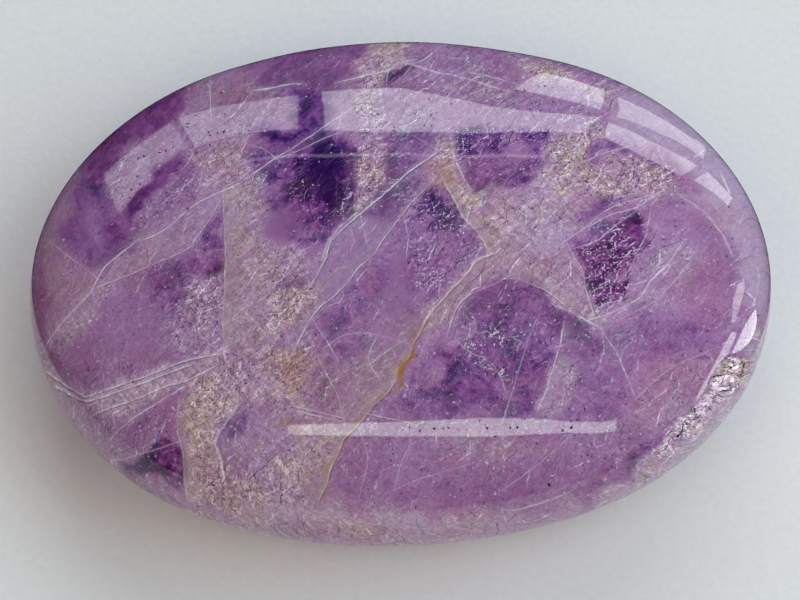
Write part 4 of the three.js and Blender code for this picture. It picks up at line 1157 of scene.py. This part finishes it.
def amethystMaterial():
    material, tree = newMaterial("polished_amethyst_quartz")
    mixing = {"take": 2, "data_type": "RGBA"}

    def add(kind, *inputs, take=0, **settings):
        # a node by its kind, or a sum by its operation, with inputs in order or by name: gives one output
        if kind.isupper():
            kind, settings["operation"] = "Math", kind
        named = inputs[0] if inputs and isinstance(inputs[0], dict) else dict(enumerate(inputs))
        return addNode(tree, "ShaderNode" + kind, named, **settings).outputs[take]

    def tinted(share, colour, name):  # one of the stone's own colours laid over
        return add("Mix", {0: share, 6: colour, 7: linear(amethyst[name])}, **mixing)

    def between(share, first, second):  # from one of the stone's own colours to another
        return add("Mix", {0: share, 6: linear(amethyst[first]), 7: linear(amethyst[second])}, **mixing)

    def stored(name):  # a painted attribute's three values
        values = add("Attribute", take="Vector", attribute_name=name)
        return addNode(tree, "ShaderNodeSeparateXYZ", {0: values}).outputs

    def laid(place, way, stretch):  # a place turned and stretched, so that a pattern runs one way
        return add("Mapping", {"Vector": place, "Rotation": (0.0, 0.0, math.radians(way)),
                               "Scale": (stretch, 1.0, otherSizes["upStretch"])}, vector_type="TEXTURE")

    def warped(name, place, by):  # a place moved by a noise
        size, detail, reach = warps[name]
        moved = add("TexNoise", {"Vector": by, "Scale": 1 / size, "Detail": detail,
                                 "Roughness": usualRoughness}, take="Color")
        moved = add("VectorMath", moved, (0.5, 0.5, 0.5), operation="SUBTRACT")
        return add("VectorMath", moved, (reach, reach, reach), place, operation="MULTIPLY_ADD")

    def facets(place, size, way, stretch):
        # flat facets, as cracked crystal breaks: each one's tone, and the step up or down at its edges,
        # where highlight and shade are painted
        shades = []
        for step in (0.0, otherSizes["edgeWidth"]):
            stepped = add("VectorMath", place, (step, -0.7 * step, 0.0), operation="ADD")
            colours = add("TexVoronoi", {"Vector": laid(stepped, way, stretch), "Scale": 1 / size},
                          take="Color", voronoi_dimensions="2D")
            shades.append(add("SeparateXYZ", colours))
        return add("MapRange", shades[0], 0.0, 1.0, -1.0, 1.0), add("SUBTRACT", *shades)

    place = add("VectorMath", {0: add("TexCoord", take="Object"), "Scale": 1 / mm}, operation="SCALE")
    height = add("SeparateXYZ", place, take=2)
    leanX, leanY = (add("MULTIPLY", height, share) for share in otherSizes["lean"])
    sheet = add("VectorMath", place, add("CombineXYZ", leanX, leanY), operation="ADD")
    swirled = warped("swirled", sheet, place)
    eased = warped("eased", sheet, place)
    ragged = warped("ragged", eased, place)
    speckled = warped("speckled", place, place)

    noises = {}
    for name, at in (("clouds", swirled), ("mottle", swirled), ("fine", place), ("grit", place),
                     ("fibres", eased), ("steep", eased), ("hatch", eased)):
        kind = patterns[name]
        at = laid(at, kind["way"], kind["stretch"]) if "way" in kind else at
        noises[name] = add("TexNoise", {"Vector": at, "Scale": 1 / kind["size"], "Detail": kind["detail"],
                                        "Roughness": kind.get("rough", usualRoughness)})
    shown = {name: add("MapRange", value, *changes["noiseShown"])
             for name, value in noises.items() if name != "steep"}
    steps = {}
    for name, at in (("planes", eased), ("sheets", eased), ("chips", ragged), ("crumbs", ragged)):
        shown[name], steps[name] = facets(at, **patterns[name])

    def together(use, onlyBright=False):  # patterns added up, each by its share
        total = 0.0
        for name, share in shares[use].items():
            value = add("MAXIMUM", shown[name], 0.0) if onlyBright else shown[name]
            total = add("MULTIPLY_ADD", value, share, total)
        return total

    depth, milk, warm = stored("body")
    magenta, iron, grain = stored("tint")
    sparkle, calmness, clear = stored("look")
    broken, pitted, _ = stored("wear")
    busy = add("SUBTRACT", 1.0, calmness)

    # the violet's depth, varied in clouds, facets and fibres
    variety = add("MULTIPLY", together("depth"), add("MapRange", depth, *changes["varietyByDepth"]))
    shownDepth = add("MULTIPLY_ADD", variety, busy, depth, use_clamp=True)

    def ramp(stops):
        made = addNode(tree, "ShaderNodeValToRGB", {0: shownDepth})
        band = made.color_ramp
        while len(band.elements) < len(stops):
            band.elements.new(0.5)
        for element, (at, colour) in zip(band.elements, stops):
            element.position = at
            element.color = linear(colour)
        return made.outputs["Color"]

    shownMagenta = add("MULTIPLY_ADD", shown["clouds"], strengths["magentaClouds"], magenta, use_clamp=True)
    violet, redder = ramp(amethyst["violet"]), ramp(amethyst["magenta"])
    colour = add("Mix", {0: shownMagenta, 6: violet, 7: redder}, **mixing)

    # cloudy quartz over it in wisps, and thin veils where the violet isn't deep
    wisps = add("MULTIPLY_ADD", together("milk"), busy, 1.0)
    veils = add("MULTIPLY", together("veils", onlyBright=True), busy)
    shownMilk = add("MULTIPLY", milk, add("MULTIPLY", wisps, strengths["milk"]))
    veilShare = add("MapRange", depth, *changes["veilsByDepth"])
    shownMilk = add("MULTIPLY_ADD", veils, veilShare, shownMilk, use_clamp=True)
    shownWarm = add("ADD", together("warm"), warm, use_clamp=True)
    shownWarm = add("MULTIPLY", shownWarm, add("MapRange", milk, *changes["warmByMilk"]))
    colour = add("Mix", {0: shownMilk, 6: colour, 7: between(shownWarm, "coolCloud", "warmCloud")}, **mixing)

    # cracks in all sizes, each seen only in part: hairs along the fibres, and on facets' edges a painted
    # highlight on one side and painted shade on the other
    part = add("MapRange", shown["mottle"], *changes["partSeen"])
    otherPart = add("MapRange", shown["mottle"], *changes["otherPartSeen"])

    def hairs(name, where):
        level, width, bright = hairLines[name]
        off = add("ABSOLUTE", add("SUBTRACT", noises[name], level))
        return add("MULTIPLY", add("MapRange", off, 0.0, width, bright, 0.0), where)

    crumbShare = add("MULTIPLY_ADD", add("MAXIMUM", grain, sparkle), *strengths["crumbEdges"])
    facetShade = add("ADD", shown["sheets"], shown["planes"])
    crumbShare = add("MULTIPLY", crumbShare, add("MapRange", facetShade, *changes["crumbsByFacet"]))
    edges = add("MULTIPLY", steps["planes"], add("MULTIPLY", part, strengths["planeEdges"]))
    edges = add("MULTIPLY_ADD", steps["sheets"], add("MULTIPLY", otherPart, strengths["sheetEdges"]), edges)
    chipShare = add("MULTIPLY_ADD", otherPart, *strengths["chipEdges"])
    edges = add("MULTIPLY_ADD", steps["chips"], chipShare, edges)
    edges = add("MULTIPLY_ADD", steps["crumbs"], crumbShare, edges)
    edges = add("MULTIPLY", edges, add("MULTIPLY_ADD", shown["fine"], *strengths["edgesByFine"]))
    lit = add("MAXIMUM", hairs("fibres", part), hairs("steep", otherPart))
    lit = add("MAXIMUM", lit, edges)
    litShare = add("MULTIPLY_ADD", shownMilk, *strengths["litByMilk"])
    litShare = add("MULTIPLY_ADD", sparkle, strengths["litBySparkle"], litShare)
    lit = add("MULTIPLY", lit, add("MULTIPLY", busy, litShare), use_clamp=True)
    shaded = add("MINIMUM", add("MULTIPLY", edges, -strengths["shadedEdges"]), strengths["shadedAtMost"])
    shaded = add("MULTIPLY", shaded, busy, use_clamp=True)
    milkOrSparkle = add("MAXIMUM", shownMilk, sparkle)
    shaded = add("MULTIPLY", shaded, add("MapRange", milkOrSparkle, *changes["shadedByMilk"]))
    # the hairs and the painted highlight, whitest at its peaks, then the painted shade on the facets' edges
    colour = add("Mix", {0: lit, 6: colour, 7: between(shownDepth, "filament", "deepFilament")}, **mixing)
    colour = tinted(add("POWER", lit, strengths["fleckPower"]), colour, "fleck")
    colour = add("Mix", {0: shaded, 6: colour, 7: between(shownMilk, "shade", "cloudShade")}, **mixing)

    # sandy grain, and small bright and dark crystals
    grainTint = add("MULTIPLY_ADD", add("ADD", grain, milk), *strengths["grain"])
    grainTint = add("MULTIPLY", add("ADD", shown["fine"], shown["grit"]), grainTint)
    grainTint = add("MULTIPLY_ADD", add("MULTIPLY", shown["hatch"], milk), strengths["hatch"], grainTint)
    grainShade = add("MULTIPLY_ADD", grainTint, busy, 1.0)
    colour = add("VectorMath", {0: colour, "Scale": grainShade}, operation="SCALE")
    crystalScale = 1 / otherSizes["crystals"]
    crystals = addNode(tree, "ShaderNodeTexVoronoi", {"Vector": speckled, "Scale": crystalScale},
                       voronoi_dimensions="2D").outputs
    chance = add("SeparateXYZ", crystals["Color"])
    crystalShape = add("MapRange", crystals["Distance"], *changes["crystalEdge"])
    clumps = add("MapRange", add("ADD", shown["mottle"], shown["chips"]), *changes["clumps"])
    crowd = add("MULTIPLY", add("MAXIMUM", sparkle, grain), add("MULTIPLY", clumps, busy))
    brightOnes = add("LESS_THAN", chance, add("MULTIPLY", crowd, strengths["brightCrowd"]))
    darkOnes = add("GREATER_THAN", chance, add("MULTIPLY_ADD", crowd, -strengths["darkCrowd"], 1.0))
    for ones, own, name in ((brightOnes, "fleck", "brightCrystals"),
                            (darkOnes, "speckDark", "darkCrystals")):
        colour = tinted(add("MULTIPLY", add("MULTIPLY", crystalShape, ones), strengths[name]), colour, own)

    # the veins: distances come in half widths
    wobble = together("veinWobble")
    breaks = add("MULTIPLY", *(add("MapRange", shown[name], *changes["breaksByFacet"])
                               for name in ("chips", "crumbs")))
    breaks = add("MULTIPLY", breaks, add("MapRange", shown["mottle"], *changes["breaksByMottle"]))
    for i in range(layerCount):
        distance, bright, dark = stored(f"line{i}")
        cloud, reach, warmth = stored(f"cloud{i}")
        across = add("ADD", distance, wobble)
        off = add("ABSOLUTE", across)
        # the cloud, on one side of the line
        sided = add("MULTIPLY", across, add("SIGN", cloud))
        fade = add("POWER", fallOff, add("DIVIDE", sided, reach))
        cover = add("MULTIPLY", fade, add("MapRange", sided, *changes["cloudSide"]), use_clamp=True)
        cover = add("MULTIPLY", add("MULTIPLY", cover, add("ABSOLUTE", cloud)), wisps, use_clamp=True)
        colour = add("Mix", {0: cover, 6: colour, 7: between(warmth, "coolCloud", "warmCloud")}, **mixing)
        # the painted shade beside it, on one side of the line
        darkSided = add("MULTIPLY", across, add("SIGN", dark))
        beside = add("ABSOLUTE", add("SUBTRACT", darkSided, besideVeins["darkAt"]))
        shade = add("MULTIPLY", add("MapRange", beside, *changes["darkBeside"]), add("ABSOLUTE", dark))
        shade = add("SUBTRACT", 1.0, add("MULTIPLY", shade, breaks, use_clamp=True))
        colour = add("VectorMath", {0: colour, "Scale": shade}, operation="SCALE")
        # the glow on both sides of the line, and the line itself
        glow = add("MULTIPLY", add("POWER", fallOff, add("DIVIDE", off, besideVeins["glowReach"])), bright)
        glow = add("MULTIPLY", glow, add("MULTIPLY", wisps, besideVeins["glow"]), use_clamp=True)
        colour = tinted(glow, colour, "glow")
        core = add("MULTIPLY", add("MapRange", off, *changes["veinCore"]), bright)
        core = add("MULTIPLY", core, breaks, use_clamp=True)
        colour = add("Mix", {0: core, 6: colour, 7: between(warmth, "line", "warmLine")}, **mixing)

    colour = tinted(add("MULTIPLY", iron, wisps, use_clamp=True), colour, "rust")

    # hollows with broken facets, each painted lighter or darker as light would fall on it, with painted
    # shade along their edges, and dark pits, painted shade in small recesses
    rough = add("ADD", shown["chips"], shown["crumbs"])
    paintedFacetLight = add("MapRange", rough, *changes["paintedFacetLight"])
    paintedFacetLight = add("MapRange", broken, 0.0, 1.0, 1.0, paintedFacetLight)
    colour = add("VectorMath", {0: colour, "Scale": paintedFacetLight}, operation="SCALE")
    # painted shade along the broken facets' edges
    brokenEdges = add("ABSOLUTE", add("ADD", steps["chips"], steps["crumbs"]))
    brokenShare = add("MULTIPLY", broken, strengths["hollowEdges"])
    brokenEdges = add("MULTIPLY", brokenEdges, brokenShare, use_clamp=True)
    colour = tinted(brokenEdges, colour, "recessShade")
    # dark pits: painted shade in small recesses, made rough so that they don't shine
    pitScale = 1 / otherSizes["pits"]
    dots = addNode(tree, "ShaderNodeTexVoronoi", {"Vector": speckled, "Scale": pitScale},
                   voronoi_dimensions="2D").outputs
    pitChance = add("MULTIPLY", pitted, strengths["pitCrowd"])
    isPit = add("LESS_THAN", add("SeparateXYZ", dots["Color"]), pitChance)
    pitCover = add("MULTIPLY", add("MapRange", dots["Distance"], *changes["pitEdge"]), isPit)
    colour = tinted(pitCover, colour, "recessShade")
    relief = add("Bump", {"Height": add("MULTIPLY", rough, broken),
                          "Distance": otherSizes["brokenRelief"] * mm})

    through = add("MULTIPLY", add("MULTIPLY_ADD", shownMilk, -strengths["throughLostToMilk"], 1.0), clear)
    through = add("MULTIPLY", through, amethyst["mostThrough"])
    gloss = add("MULTIPLY_ADD", pitCover, amethyst["pitRoughness"], amethyst["roughness"])
    gloss = add("MULTIPLY_ADD", broken, amethyst["brokenRoughness"], gloss)
    face = add("BsdfPrincipled", {"Base Color": colour, "Roughness": gloss, "IOR": amethyst["ior"],
                                  "Transmission Weight": through, "Normal": relief})
    deep = add("VolumeAbsorption", {"Color": linear(amethyst["absorption"]),
                                    "Density": amethyst["absorptionDensity"]})
    addNode(tree, "ShaderNodeOutputMaterial", {"Surface": face, "Volume": deep})
    return material


stonePiece.data.materials.clear()
stonePiece.data.materials.append(amethystMaterial())
print("material made")
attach(stonePiece, "root")
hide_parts("palm_stone")
bpy.context.scene.view_settings.view_transform = "Standard"
